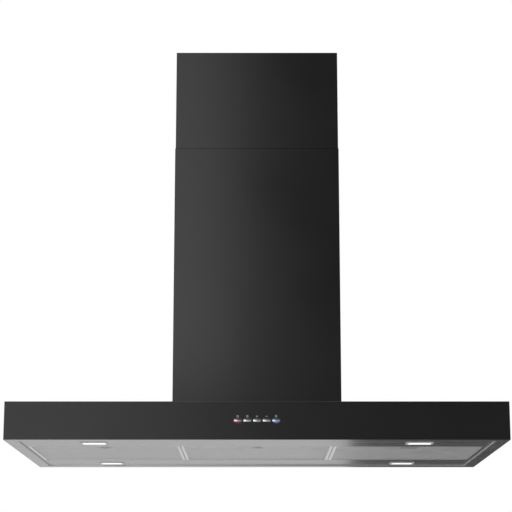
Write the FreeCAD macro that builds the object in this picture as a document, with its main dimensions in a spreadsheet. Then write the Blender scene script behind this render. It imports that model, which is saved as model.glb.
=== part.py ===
"""Wall chimney hood: a flat box canopy, two telescoping chimney covers, a blower and three grease filters.

Millimetres. X is to the right, the room is at -Y, the wall is the plane Y = 0, and Z is up.
The origin is on the wall, on the hood's centre line, level with the underside of the canopy.
"""
import FreeCAD, Part
import Sketcher
import math
import os
import re

V = FreeCAD.Vector
CLOSE = 1e-4

DIMENSIONS = {
    # The whole hood
    "hood_width": 900,  # canopy, side to side
    "hood_depth": 500,  # canopy, wall to front
    "canopy_height": 68.5,  # canopy, underside to top
    "canopy_sheet": 1.0,  # painted steel of the canopy
    "fold_radius": 1.2,  # outer radius of the canopy's folds
    "back_sheet": 1.2,  # steel of the back plate
    "chimney_width": 326,  # lower cover, side to side
    "chimney_depth": 270,  # lower cover, wall to front
    "lower_cover_height": 539,  # lower cover, canopy top to seam
    "upper_cover_height": 500,  # upper cover, whole length
    "upper_cover_shown": 202,  # upper cover above the seam
    "cover_sheet": 0.6,  # painted steel of the covers
    "cover_gap": 0.3,  # sliding gap between the covers
    "cover_fold_radius": 1.5,  # outer radius of the covers' folds
    "cover_lip": 12,  # lip folded in at the covers' rear edges
    "louvre_length": 90,  # air slot in the upper cover, along Y
    "louvre_width": 5,  # air slot, along Z
    "louvre_count": 6,  # air slots in each side of the upper cover
    "louvre_pitch": 12,  # air slot to air slot
    "louvre_top": 40,  # top air slot below the cover's top
    # Underside
    "panel_sheet": 0.8,  # stainless steel of the underside
    "side_flange": 22.5,  # flat edge of the underside, left and right
    "end_flange": 25,  # flat edge of the underside, front and rear
    "recess_depth": 2,  # inner panel above the flat edge
    "aperture_margin": 25,  # canopy's side to the filter opening
    "aperture_depth": 250,  # filter opening, front to rear
    "rail_web": 12,  # filter rail, height of its web
    "rail_foot": 8,  # filter rail, width of its foot
    "rail_sheet": 0.8,  # steel of the filter rails
    "rail_setback": 8,  # filter rail's web behind the opening's edge
    # Lamps
    "lamp_side_inset": 154.5,  # lamps' centres from the canopy's sides
    "lamp_front_inset": 74,  # front lamps' centres behind the front
    "lamp_rear_inset": 62,  # rear lamps' centres in front of the wall
    "lamp_length": 50,  # lamp's rim, along X
    "lamp_width": 34,  # lamp's rim, along Y
    "lamp_corner": 7,  # corner radius of the lamp's rim
    "lamp_border": 3,  # rim's width round the lens
    "lamp_rim": 1.2,  # rim's height below the panel
    "lamp_body_height": 16,  # lamp's body above the panel
    "lamp_wall": 1.5,  # lamp body's wall
    "lens_height": 3,  # lens thickness
    "lens_recess": 0.4,  # lens face above the rim's face
    # Filters
    "filter_gap": 1.0,  # gap between neighbouring filters
    "filter_front_gap": 0.8,  # gap in front of a filter
    "filter_rear_gap": 2.5,  # gap behind a filter
    "filter_height": 9,  # filter, underside to top
    "filter_strip": 6,  # frame's visible strip
    "filter_sheet": 0.9,  # aluminium of the filter's frame
    "mesh_pitch_side": 15,  # mesh opening to opening, along X
    "mesh_pitch_deep": 14.5,  # mesh row to row, along Y
    "mesh_opening_side": 10,  # mesh opening, along X
    "mesh_opening_deep": 7,  # mesh opening, along Y
    "mesh_margin": 9,  # mesh rim with no openings
    "tab_reach": 6,  # rear tab past the opening's edge
    "tab_sheet": 1.2,  # rear tab's thickness
    "tab_width": 16,  # rear tab, along X
    "tab_inset": 40,  # rear tab's centre from the filter's side
    "rim_play": 0.6,  # tab or latch above the opening's rim
    # Filter latch
    "latch_housing_width": 29,  # latch housing, along X
    "latch_housing_depth": 38,  # latch housing, along Y
    "latch_wall": 2,  # latch housing's wall
    "latch_play": 0.3,  # latch plate's side clearance
    "latch_sheet": 1.6,  # latch plate's thickness
    "latch_plate_depth": 20,  # latch plate, along Y
    "latch_nose_width": 14,  # latch nose, along X
    "latch_nose_reach": 6,  # latch nose past the opening's edge
    "latch_lip_drop": 3,  # finger lip below the plate
    "latch_lip_width": 14,  # finger lip, along X
    "latch_lug_width": 9,  # spring lug, along X
    "latch_lug_gap": 0.6,  # spring lug below the housing's top
    "latch_window_radius": 12,  # finger window's round end
    "latch_window_straight": 14,  # finger window's straight part, along Y
    "latch_spring_gap": 0.05,  # latch spring to the plate
    "spring_wire": 0.4,  # spring wire's thickness
    # Controls
    "button_count": 5,  # buttons
    "button_spacing": 3.1,  # gap between neighbouring buttons
    "button_length": 14,  # button, along X
    "button_height": 4.6,  # button, along Z
    "button_corner": 1.7,  # button's corner radius
    "button_edge": 0.5,  # rounding of the button's face
    "button_proud": 2.6,  # button in front of the canopy
    "button_play": 0.3,  # gap round a button in its slot
    "button_travel": 2.0,  # how far a button goes in
    "flange_side": 0.9,  # button's stop flange past the cap, along X
    "flange_rise": 1.5,  # button's stop flange past the cap, along Z
    "flange_sheet": 1.2,  # button's stop flange, along Y
    "stem_radius": 1.5,  # button's stem
    "stem_play": 0.2,  # gap round the stem
    "carrier_wall": 1.5,  # button carrier's wall
    "carrier_depth": 11,  # button carrier, along Y
    "carrier_margin": 2.5,  # space round the flanges in the carrier
    "post_width": 5,  # posts that hold the board
    "button_spring_radius": 2.4,  # button spring, outside
    "switch_gap": 0.1,  # stem to switch with the button pressed
    "switch_plunger": 2.4,  # switch plunger's height
    "switch_plunger_radius": 1.6,  # switch plunger
    "switch_side": 6,  # switch body, along X and Z
    "switch_height": 3.4,  # switch body, along Y
    "board_sheet": 1.6,  # control board's thickness
    "board_height": 24,  # control board, along Z
    # Blower housing
    "box_side_gap": 17,  # blower box to the lower cover's side
    "box_front_gap": 24,  # blower box to the lower cover's front
    "box_height": 300,  # blower box, canopy top to its own top
    "box_sheet": 0.8,  # galvanised steel of the blower box
    "box_foot": 5,  # flange at the box's foot
    "air_rim": 14,  # canopy top left round the air opening
    "hanger_rise": 50,  # back plate above the blower box
    "duct_diameter": 150,  # outlet collar, outside
    "duct_wall_gap": 9,  # collar to the wall
    "collar_height": 60,  # collar above the blower box
    "collar_wall": 2,  # collar's wall
    "collar_flange": 5,  # collar's flange past the tube
    "collar_flange_sheet": 3,  # collar flange's thickness
    "collar_ledge": 2.5,  # ledge that the flaps rest on
    "flap_level": 16,  # flap hinge above the blower box
    "flap_sheet": 1.2,  # flap's thickness
    "flap_play": 0.8,  # gap round a flap
    "flap_offset": 4,  # flap hinge from the collar's middle
    "flap_knuckle": 2.6,  # flap knuckle's radius
    "flap_pin_radius": 1.5,  # flap pin
    "knuckle_end_gap": 5,  # flap knuckle to the collar's wall
    "running_gap": 0.05,  # play of a pin or shaft in its bore
    "scroll_floor_gap": 26.5,  # canopy's top to the fan housing
    "scroll_front_gap": 2.7,  # blower box's front to the fan housing
    "blade_depth": 14,  # fan blade, root to tip
    "fan_side_gap": 0.5,  # fan to the inlet's lip
    "fan_ring": 3,  # fan's end rings, along X
    "fan_disc": 2,  # fan's middle disc
    "blade_sheet": 1.2,  # fan blade's thickness
    "blade_count": 30,  # fan blades
    "shaft_radius": 4,  # fan's shaft
    "shaft_end": 6,  # shaft past the fan's disc
    "shaft_blind": 6,  # motor left beyond the shaft
    "scroll_clearance": 5,  # fan to the housing at its tongue
    "scroll_step": 9,  # growth of the scroll each quarter turn
    "scroll_inset": 15,  # fan housing's side inside the duct's, along X
    "scroll_wall": 2.5,  # fan housing's wall
    "throat_inset": 29,  # fan outlet's edge inside the duct's, along Y
    "throat_flange": 10,  # fan outlet's flange
    "inlet_margin": 4,  # air inlet inside the blades' roots
    "inlet_lip": 5,  # inlet's rolled lip, along X
    "grille_sheet": 2,  # inlet grille's thickness
    "grille_bar": 2.4,  # grille's rings and spokes
    "grille_step": 11,  # grille ring to grille ring
    "motor_radius": 38,  # motor
    "motor_end_gap": 4,  # motor to the fan housing's outer side
    "motor_gap": 6,  # motor to the fan's disc
    "motor_edge": 3,  # rounding of the motor's ends
    "bracket_ring": 8,  # motor bracket's ring past the inlet
    "bracket_hub": 22,  # motor bracket's hub
    "bracket_arm": 12,  # motor bracket's arms
    # Electrics
    "wire_box_width": 110,  # wiring box, along X
    "wire_box_rear_gap": 2,  # wiring box to the collar's flange
    "wire_box_height": 44,  # wiring box, along Z
    "wire_box_side_gap": 11,  # wiring box to the blower box's side
    "wire_box_gap": 10,  # wiring box behind the blower box's front
    "wire_box_wall": 1.5,  # wiring box's wall
    "terminal_length": 50,  # terminal block, along X
    "terminal_depth": 18,  # terminal block, along Y
    "terminal_height": 20,  # terminal block, along Z
    "terminal_gap": 7,  # terminal block to the wiring box's side
    "terminal_pitch": 9,  # terminal to terminal
    "terminal_well": 2.6,  # terminal's screw well
    "gland_radius": 9,  # cable gland's nut
    "gland_neck": 7,  # cable gland's thread, its radius
    "gland_thread": 7,  # cable gland's thread inside the wiring box
    "gland_shoulder": 7.6,  # cable gland's dome, radius at its foot
    "gland_mouth": 5.2,  # cable gland's dome, radius at its top
    "gland_bore": 4,  # cable gland's bore
    "gland_height": 16,  # cable gland above the wiring box
    "gland_inset": 22,  # cable gland from the wiring box's left side
    "capacitor_radius": 15,  # capacitor
    "capacitor_height": 55,  # capacitor
    "capacitor_edge": 1.9,  # rounding of the capacitor's top
    "capacitor_inset": 41,  # capacitor's centre from the blower box's side
    "driver_length": 120,  # lamp driver, along X
    "driver_width": 42,  # lamp driver, along Y
    "driver_height": 24,  # lamp driver, along Z
    "driver_inset": 150,  # lamp driver's centre from the canopy's side
    "driver_corner": 3,  # lamp driver's corner radius
    # Fixings
    "keyhole_inset": 31,  # keyholes from the blower box's sides
    "keyhole_drop": 26,  # keyhole below the back plate's top
    "keyhole_head": 6.5,  # keyhole's head opening
    "keyhole_neck": 2.75,  # keyhole's slot
    "keyhole_rise": 12,  # keyhole's slot above its head opening
    "lock_spacing": 400,  # locking screw to locking screw
    "lock_level": 34,  # locking screws above the underside
    "lock_radius": 2.75,  # locking screws' holes
    "bracket_sheet": 1.5,  # chimney bracket's steel
    "bracket_height": 30,  # chimney bracket, along Z
    "bracket_drop": 15,  # chimney bracket below the cover's top
    "bracket_depth": 25,  # chimney bracket's side tabs, along Y
    "bracket_tab_reach": 36,  # chimney bracket's side tabs, along X
    "bracket_spacing": 200,  # chimney bracket's wall holes
    "bracket_lip_gap": 3,  # chimney bracket's plate to the cover's lips
    "bracket_rear_gap": 0.6,  # chimney bracket's tabs to the cover's lips
    "clip_height": 28,  # cover clips above the canopy
    "clip_foot": 10,  # cover clip's foot, along X
    "clip_length": 30,  # cover clip, along Y
    "clip_place": 45,  # cover clips' middle from the wall
    "screw_radius": 2.0,  # fixing screw's shank
    "screw_head": 3.8,  # fixing screw's head
    "screw_head_height": 2.4,  # fixing screw's head height
    "screw_length": 9,  # fixing screw's shank length
    "screw_play": 0.2,  # gap round a fixing screw
    "screw_slot": 0.9,  # width of the cross in a screw's head
    "screw_cross": 4.6,  # length of the cross in a screw's head
    "screw_cross_floor": 1.0,  # metal left under the cross
    "small_screw_radius": 1.2,  # board screw's shank
    "small_screw_head": 2.4,  # board screw's head
    "small_screw_head_height": 1.2,  # board screw's head height
    "small_screw_length": 4.5,  # board screw's thread in its post
    "cut_through": 2,  # how far a cut runs past the metal
}

doc = FreeCAD.newDocument("chimney_hood")
sizes = doc.addObject("Spreadsheet::Sheet", "Sizes")
for row, (name, value) in enumerate(DIMENSIONS.items(), start=1):
    sizes.set("A%d" % row, name)
    sizes.set("B%d" % row, str(value))
    sizes.setAlias("B%d" % row, name)
doc.recompute()

nodes = []
WORDS = re.compile(r"\b(%s)\b" % "|".join(DIMENSIONS))


def formula(text):
    """The text with each size's name pointing to its cell."""
    return WORDS.sub(r"Sizes.\1", str(text))


def worth(text):
    """What a formula comes to now, in millimetres."""
    return float(sizes.evalExpression(formula(text)))


def bind(piece, place, text):
    piece.setExpression(place, formula(text))


def minus(text):
    return "-(%s)" % text


def plus(*texts):
    return " + ".join("(%s)" % text for text in texts)


def both(text):
    """A span that lies the same distance either side of zero."""
    return (minus(text), text)


def facing(side, near, far):
    """A span on the positive side of zero, or its mirror image on the negative side."""
    return (near, far) if side > 0 else (minus(far), minus(near))


# Places that several pieces share
HALF_WIDTH = "hood_width / 2"
FRONT = "-hood_depth"
BACK_INNER = "-back_sheet"
INNER_TOP = "canopy_height - canopy_sheet"
SEAM = "canopy_height + lower_cover_height"
COVER_TOP = "canopy_height + lower_cover_height + upper_cover_shown"
FILTERS = (("left", -1), ("middle", 0), ("right", 1))
APERTURE_HALF = "hood_width / 2 - aperture_margin"
APERTURE_FRONT = "-(hood_depth + aperture_depth) / 2"
APERTURE_REAR = "-(hood_depth - aperture_depth) / 2"
PANEL_TOP = "recess_depth + panel_sheet"
FILTER_PITCH = "(%s) * 2 / %d" % (APERTURE_HALF, len(FILTERS))
FILTER_HALF = "(%s - filter_gap) / 2" % FILTER_PITCH
FILTER_FRONT = plus(APERTURE_FRONT, "filter_front_gap")
FILTER_REAR = plus(APERTURE_REAR, "-filter_rear_gap")
FILTER_TOP = "recess_depth + filter_height"
LATCH_LEVEL = "recess_depth + panel_sheet + rim_play"
BUTTON_LEVEL = "canopy_height / 2"
SKIN_INNER = "-hood_depth + canopy_sheet"
BOX_HALF = "chimney_width / 2 - box_side_gap"
BOX_FRONT = "-(chimney_depth - box_front_gap)"
BOX_TOP = "canopy_height + box_height"
COLLAR_Y = "-(duct_diameter / 2 + duct_wall_gap)"
COLLAR_INNER = "duct_diameter / 2 - collar_wall"
FLAP_AXIS_Z = "canopy_height + box_height + flap_level"
THROAT_HALF = "duct_diameter / 2 - throat_inset"
THROAT_REAR = plus(COLLAR_Y, THROAT_HALF)
THROAT_FRONT = plus(COLLAR_Y, minus(THROAT_HALF))
SCROLL_HALF = "duct_diameter / 2 - scroll_inset"
SCROLL_FRONT = plus(BOX_FRONT, "box_sheet + scroll_front_gap + scroll_wall")
SCROLL_FIRST = "(%s - 3 * scroll_step) / 2" % plus(THROAT_REAR, minus(SCROLL_FRONT))
FAN_Y = plus(THROAT_REAR, minus(plus(SCROLL_FIRST, "scroll_step * 2.5")))
FAN_Z = plus("canopy_height + scroll_floor_gap + scroll_wall", SCROLL_FIRST, "scroll_step * 1.5")
FAN_RADIUS = plus(SCROLL_FIRST, "-scroll_step / 2 - scroll_clearance")
FAN_INNER = plus(FAN_RADIUS, "-blade_depth")
FAN_HALF = plus(SCROLL_HALF, "-scroll_wall - inlet_lip - fan_side_gap")
INLET_RADIUS = plus(FAN_INNER, "-inlet_margin")
MOTOR_END = plus(SCROLL_HALF, "-motor_end_gap")
COLLAR_FLANGE_HALF = "duct_diameter / 2 + collar_flange"
WIRE_FRONT = plus(BOX_FRONT, "wire_box_gap")
WIRE_REAR = plus(COLLAR_Y, minus(COLLAR_FLANGE_HALF), "-wire_box_rear_gap")
SIDES = (("left", -1), ("right", 1))
TURN_X = FreeCAD.Rotation(V(0, 1, 0), 90)
TURN_Y = FreeCAD.Rotation(V(1, 0, 0), -90)
TURN_Z = FreeCAD.Rotation()
TURNS = {"x": TURN_X, "y": TURN_Y, "z": TURN_Z}


def node(piece, label, where=None):
    """Marks a finished sub-part, which gets a name and, if it is a copy, a place of its own."""
    piece.Label = label
    if where:
        place(piece, where)
    nodes.append(piece)
    return piece


def place(piece, where):
    for letter, text in zip("xyz", where):
        bind(piece, "Placement.Base." + letter, text)


# Solids from primitives
def block(name, x, y, z):
    """A box between two formulas along each axis."""
    piece = doc.addObject("Part::Box", name)
    for side, letter, (low, high) in zip(("Length", "Width", "Height"), "xyz", (x, y, z)):
        bind(piece, side, plus(high, minus(low)))
        bind(piece, "Placement.Base." + letter, low)
    return piece


def rod(name, axis, centre, radius, span):
    """A cylinder along an axis, between two formulas; centre holds its other two coordinates in order."""
    piece = doc.addObject("Part::Cylinder", name)
    piece.Placement = FreeCAD.Placement(V(), TURNS[axis])
    bind(piece, "Radius", radius)
    bind(piece, "Height", plus(span[1], minus(span[0])))
    places = iter(centre)
    for letter in "xyz":
        bind(piece, "Placement.Base." + letter, span[0] if letter == axis else next(places))
    return piece


def fused(name, *pieces):
    whole = doc.addObject("Part::MultiFuse", name)
    whole.Shapes = list(pieces)
    whole.Refine = True
    return whole


def less(name, base, *tools):
    """The base with the tools cut out of it."""
    whole = doc.addObject("Part::Cut", name)
    whole.Base = base
    whole.Tool = tools[0] if len(tools) == 1 else fused(name + "_cuts", *tools)
    whole.Refine = True
    return whole


def group(name, *pieces):
    """Separate solids that share one node."""
    whole = doc.addObject("Part::Compound", name)
    whole.Links = list(pieces)
    return whole


# Bodies from sketches
PLANES = {"x": "YZ_Plane", "y": "XZ_Plane", "z": "XY_Plane"}


def sketch(body, name, axis, level="0"):
    """A sketch square to an axis, at a level on that axis; the plane square to Y looks along -Y."""
    drawing = body.newObject("Sketcher::SketchObject", name)
    plane = [f for f in body.Origin.OriginFeatures if f.Role == PLANES[axis]][0]
    drawing.AttachmentSupport = [(plane, "")]
    drawing.MapMode = "FlatFace"
    bind(drawing, "AttachmentOffset.Base.z", minus(level) if axis == "y" else level)
    return drawing


def hold(drawing, kind, geometry, point, text):
    """A dimension from the sketch's origin to a point, bound to a formula."""
    index = drawing.addConstraint(Sketcher.Constraint(kind, -1, 1, geometry, point, worth(text)))
    drawing.renameConstraint(index, "size%d" % index)
    bind(drawing, "Constraints.size%d" % index, text)


def polygon(drawing, points):
    """A closed outline of straight lines through points given as formulas."""
    first, count = drawing.GeometryCount, len(points)
    places = [V(worth(u), worth(v)) for u, v in points]
    for i in range(count):
        drawing.addGeometry(Part.LineSegment(places[i], places[(i + 1) % count]))
    for i, (u, v) in enumerate(points):
        following = first + (i + 1) % count
        drawing.addConstraint(Sketcher.Constraint("Coincident", first + i, 2, following, 1))
        hold(drawing, "DistanceX", first + i, 1, u)
        hold(drawing, "DistanceY", first + i, 1, v)
    return drawing


def rectangle(drawing, u, v):
    return polygon(drawing, ((u[0], v[0]), (u[1], v[0]), (u[1], v[1]), (u[0], v[1])))


def circle(drawing, centre, radius):
    index = drawing.addGeometry(Part.Circle(V(worth(centre[0]), worth(centre[1])), V(0, 0, 1), worth(radius)))
    hold(drawing, "DistanceX", index, 3, centre[0])
    hold(drawing, "DistanceY", index, 3, centre[1])
    limit = drawing.addConstraint(Sketcher.Constraint("Radius", index, worth(radius)))
    drawing.renameConstraint(limit, "size%d" % limit)
    bind(drawing, "Constraints.size%d" % limit, radius)
    return drawing


def rounded(drawing, centres, radius):
    """The outline of a belt round equal circles, whose centres are given anticlockwise."""
    first, count, reach = drawing.GeometryCount, len(centres), worth(radius)
    places = [V(worth(u), worth(v)) for u, v in centres]
    normals = []
    for i in range(count):
        along = places[(i + 1) % count] - places[i]
        along.normalize()
        normals.append(V(along.y, -along.x))
    for i in range(count):
        start, end = (math.atan2(n.y, n.x) for n in (normals[i - 1], normals[i]))
        drawing.addGeometry(Part.ArcOfCircle(Part.Circle(places[i], V(0, 0, 1), reach), start, end))
        outward = normals[i] * reach
        drawing.addGeometry(Part.LineSegment(places[i] + outward, places[(i + 1) % count] + outward))
    for i, (u, v) in enumerate(centres):
        arc = first + 2 * i
        following = first + 2 * ((i + 1) % count)
        drawing.addConstraint(Sketcher.Constraint("Tangent", arc, 2, arc + 1, 1))
        drawing.addConstraint(Sketcher.Constraint("Tangent", arc + 1, 2, following, 1))
        hold(drawing, "DistanceX", arc, 3, u)
        hold(drawing, "DistanceY", arc, 3, v)
        limit = drawing.addConstraint(Sketcher.Constraint("Radius", arc, reach))
        drawing.renameConstraint(limit, "size%d" % limit)
        bind(drawing, "Constraints.size%d" % limit, radius)
    return drawing


def rounded_rectangle(drawing, middle, length, width, corner):
    """A rectangle about a middle point, with round corners."""
    u = "(%s) / 2 - (%s)" % (length, corner)
    v = "(%s) / 2 - (%s)" % (width, corner)
    low_u, high_u = plus(middle[0], minus(u)), plus(middle[0], u)
    low_v, high_v = plus(middle[1], minus(v)), plus(middle[1], v)
    return rounded(drawing, ((low_u, low_v), (high_u, low_v), (high_u, high_v), (low_u, high_v)), corner)


def new_body(name):
    return doc.addObject("PartDesign::Body", name)


def pad(body, drawing, length, backwards=False):
    """Grows a sketch along its axis, or against it."""
    feature = body.newObject("PartDesign::Pad", drawing.Name + "_pad")
    feature.Profile = drawing
    feature.Reversed = backwards
    bind(feature, "Length", length)
    doc.recompute()
    return feature


def pocket(body, drawing, length, forwards=False):
    """Cuts a sketch's outline away, against the sketch's own direction or with it."""
    before = body.Shape.Volume
    feature = body.newObject("PartDesign::Pocket", drawing.Name + "_pocket")
    feature.Profile = drawing
    feature.Reversed = forwards
    bind(feature, "Length", length)
    doc.recompute()
    if not feature.Shape.Volume < before:
        raise ValueError("%s cuts nothing from %s" % (feature.Name, body.Name))
    return feature


def fillet(body, wanted, radius):
    """Rounds the edges of the body's last feature that a test picks."""
    base = body.Tip
    names = ["Edge%d" % (i + 1) for i, edge in enumerate(base.Shape.Edges) if wanted(edge)]
    if not names:
        raise ValueError("%s has no edge to round" % body.Name)
    feature = body.newObject("PartDesign::Fillet", base.Name + "_fillet")
    feature.Base = (base, names)
    bind(feature, "Radius", radius)
    doc.recompute()
    return feature


def runs_along(edge, axis):
    ends = [v.Point for v in edge.Vertexes]
    if len(ends) != 2:
        return False
    gap = ends[1] - ends[0]
    return abs(getattr(gap, axis)) > (1 - CLOSE) * gap.Length


def at(edge, axis, text):
    """Whether a whole edge lies at one level on an axis."""
    level, box = worth(text), edge.BoundBox
    low, high = getattr(box, axis.upper() + "Min"), getattr(box, axis.upper() + "Max")
    return abs(low - level) < CLOSE and abs(high - level) < CLOSE


# Canopy
BUTTON_PITCH = "(button_length + button_spacing)"
BUTTON_SPAN = BUTTON_PITCH + " * (button_count - 1)"


def button_places():
    """Number and centre of each button, from the left."""
    for number in range(DIMENSIONS["button_count"]):
        yield number + 1, ("%s * %d - %s / 2" % (BUTTON_PITCH, number, BUTTON_SPAN), BUTTON_LEVEL)


def canopy_shell():
    """Front, top and sides, folded from one sheet, with five button slots and the air opening."""
    body = new_body("canopy_shell")
    depth = (FRONT, BACK_INNER)
    pad(body, rectangle(sketch(body, "canopy_outline", "z"), both(HALF_WIDTH), depth), "canopy_height")
    fillet(body, lambda e: at(e, "y", FRONT) and not at(e, "z", "0"), "fold_radius")
    inner = (SKIN_INNER, BACK_INNER)
    inside = rectangle(sketch(body, "canopy_inside", "z"), both("hood_width / 2 - canopy_sheet"), inner)
    pocket(body, inside, INNER_TOP, forwards=True)
    opening = sketch(body, "air_opening", "z", "canopy_height")
    opening_y = (plus(BOX_FRONT, "air_rim"), "-back_sheet - air_rim")
    rectangle(opening, both(plus(BOX_HALF, "-air_rim")), opening_y)
    pocket(body, opening, "canopy_sheet + cut_through")
    slots = sketch(body, "button_slots", "y", FRONT)
    for _, middle in button_places():
        rounded_rectangle(slots, middle, "button_length + 2 * button_play", "button_height + 2 * button_play",
                          "button_corner + button_play")
    pocket(body, slots, "canopy_sheet + cut_through")
    node(body, "canopy_shell")


def rear_panel():
    """Back plate of the canopy and the blower box, with keyholes to hang by and holes for locking screws."""
    body = new_body("rear_panel")
    top = plus(BOX_TOP, "hanger_rise")
    outline = sketch(body, "back_outline", "y")
    polygon(outline, (
        (minus(HALF_WIDTH), "0"), (HALF_WIDTH, "0"), (HALF_WIDTH, "canopy_height"),
        (BOX_HALF, "canopy_height"), (BOX_HALF, top), (minus(BOX_HALF), top),
        (minus(BOX_HALF), "canopy_height"), (minus(HALF_WIDTH), "canopy_height"),
    ))
    pad(body, outline, "back_sheet")
    level = plus(top, "-keyhole_drop")
    front = BACK_INNER
    heads, necks, locks = (sketch(body, name, "y", front) for name in ("heads", "necks", "locks"))
    for _, side in SIDES:
        middle = "(%s) * %d" % (plus(BOX_HALF, "-keyhole_inset"), side)
        circle(heads, (middle, level), "keyhole_head")
        rise = plus(level, "keyhole_rise")
        rounded(necks, ((middle, rise), (middle, level)), "keyhole_neck")
        circle(locks, ("lock_spacing / 2 * %d" % side, "lock_level"), "lock_radius")
    for drawing in (heads, necks, locks):
        pocket(body, drawing, "back_sheet + cut_through")
    node(body, "rear_panel")


def lamp_places():
    """Name and centre of each lamp."""
    for end, middle_y in (("front", "-hood_depth + lamp_front_inset"), ("rear", "-lamp_rear_inset")):
        for name, side in SIDES:
            yield "%s_%s" % (end, name), ("(hood_width / 2 - lamp_side_inset) * %d" % side, middle_y)


LAMP_BODY_LENGTH = "lamp_length - 2 * lamp_border"
LAMP_BODY_WIDTH = "lamp_width - 2 * lamp_border"
LAMP_BODY_CORNER = "lamp_corner - lamp_border"


def underside_panel():
    """Stainless underside: a flat edge, a recessed inner panel, the filter opening and four lamp holes."""
    body = new_body("underside_panel")
    rim_x, rim_y = both("hood_width / 2 - canopy_sheet"), (SKIN_INNER, BACK_INNER)
    pad(body, rectangle(sketch(body, "edge_plate", "z"), rim_x, rim_y), "panel_sheet")
    outer_x = both("hood_width / 2 - side_flange + panel_sheet")
    outer_y = ("-hood_depth + end_flange - panel_sheet", "-end_flange + panel_sheet")
    pad(body, rectangle(sketch(body, "tray_outside", "z"), outer_x, outer_y), PANEL_TOP)
    inner_x, inner_y = both("hood_width / 2 - side_flange"), ("-hood_depth + end_flange", "-end_flange")
    recess = rectangle(sketch(body, "tray_inside", "z"), inner_x, inner_y)
    pocket(body, recess, "recess_depth", forwards=True)
    holes = sketch(body, "panel_holes", "z", PANEL_TOP)
    rectangle(holes, both(APERTURE_HALF), (APERTURE_FRONT, APERTURE_REAR))
    for _, middle in lamp_places():
        rounded_rectangle(holes, middle, LAMP_BODY_LENGTH, LAMP_BODY_WIDTH, LAMP_BODY_CORNER)
    pocket(body, holes, "panel_sheet + cut_through")
    node(body, "underside_panel")


def filter_rails():
    """Angles on top of the panel that stiffen the opening's long edges."""
    across = both(APERTURE_HALF)
    foot_z = (PANEL_TOP, plus(PANEL_TOP, "rail_sheet"))
    web_z = (PANEL_TOP, plus(PANEL_TOP, "rail_web"))
    for name, edge, away in (("front", APERTURE_FRONT, -1), ("rear", APERTURE_REAR, 1)):
        near = plus(edge, "rail_setback * %d" % away)
        web_far = plus(near, "rail_sheet * %d" % away)
        foot_far = plus(near, "rail_foot * %d" % away)
        web_y = (web_far, near) if away < 0 else (near, web_far)
        foot_y = (foot_far, near) if away < 0 else (near, foot_far)
        web = block("rail_web_" + name, across, web_y, web_z)
        foot = block("rail_foot_" + name, across, foot_y, foot_z)
        node(fused("filter_rail_" + name, web, foot), "filter_rail_" + name)


def lamps():
    """Four lamps: a rim and body that clip into the panel, and a frosted lens."""
    rim_bottom = "recess_depth - lamp_rim"
    for name, middle in lamp_places():
        body = new_body("lamp_housing_" + name)
        rim = sketch(body, "rim_" + name, "z", rim_bottom)
        rounded_rectangle(rim, middle, "lamp_length", "lamp_width", "lamp_corner")
        pad(body, rim, "lamp_rim")
        fillet(body, lambda e: at(e, "z", rim_bottom), "lamp_rim / 2")
        can = sketch(body, "can_" + name, "z", "recess_depth")
        rounded_rectangle(can, middle, LAMP_BODY_LENGTH, LAMP_BODY_WIDTH, LAMP_BODY_CORNER)
        pad(body, can, "lamp_body_height")
        hollow = sketch(body, "hollow_" + name, "z", rim_bottom)
        inner = tuple("%s - 2 * lamp_wall" % text for text in (LAMP_BODY_LENGTH, LAMP_BODY_WIDTH))
        inner_corner = LAMP_BODY_CORNER + " - lamp_wall"
        rounded_rectangle(hollow, middle, inner[0], inner[1], inner_corner)
        pocket(body, hollow, "lamp_rim + lamp_body_height - lamp_wall", forwards=True)
        node(body, "lamp_housing_" + name)
        lens = new_body("lamp_lens_" + name)
        glass = sketch(lens, "glass_" + name, "z", plus(rim_bottom, "lens_recess"))
        rounded_rectangle(glass, middle, inner[0], inner[1], inner_corner)
        pad(lens, glass, "lens_height")
        node(lens, "lamp_lens_" + name)


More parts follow.
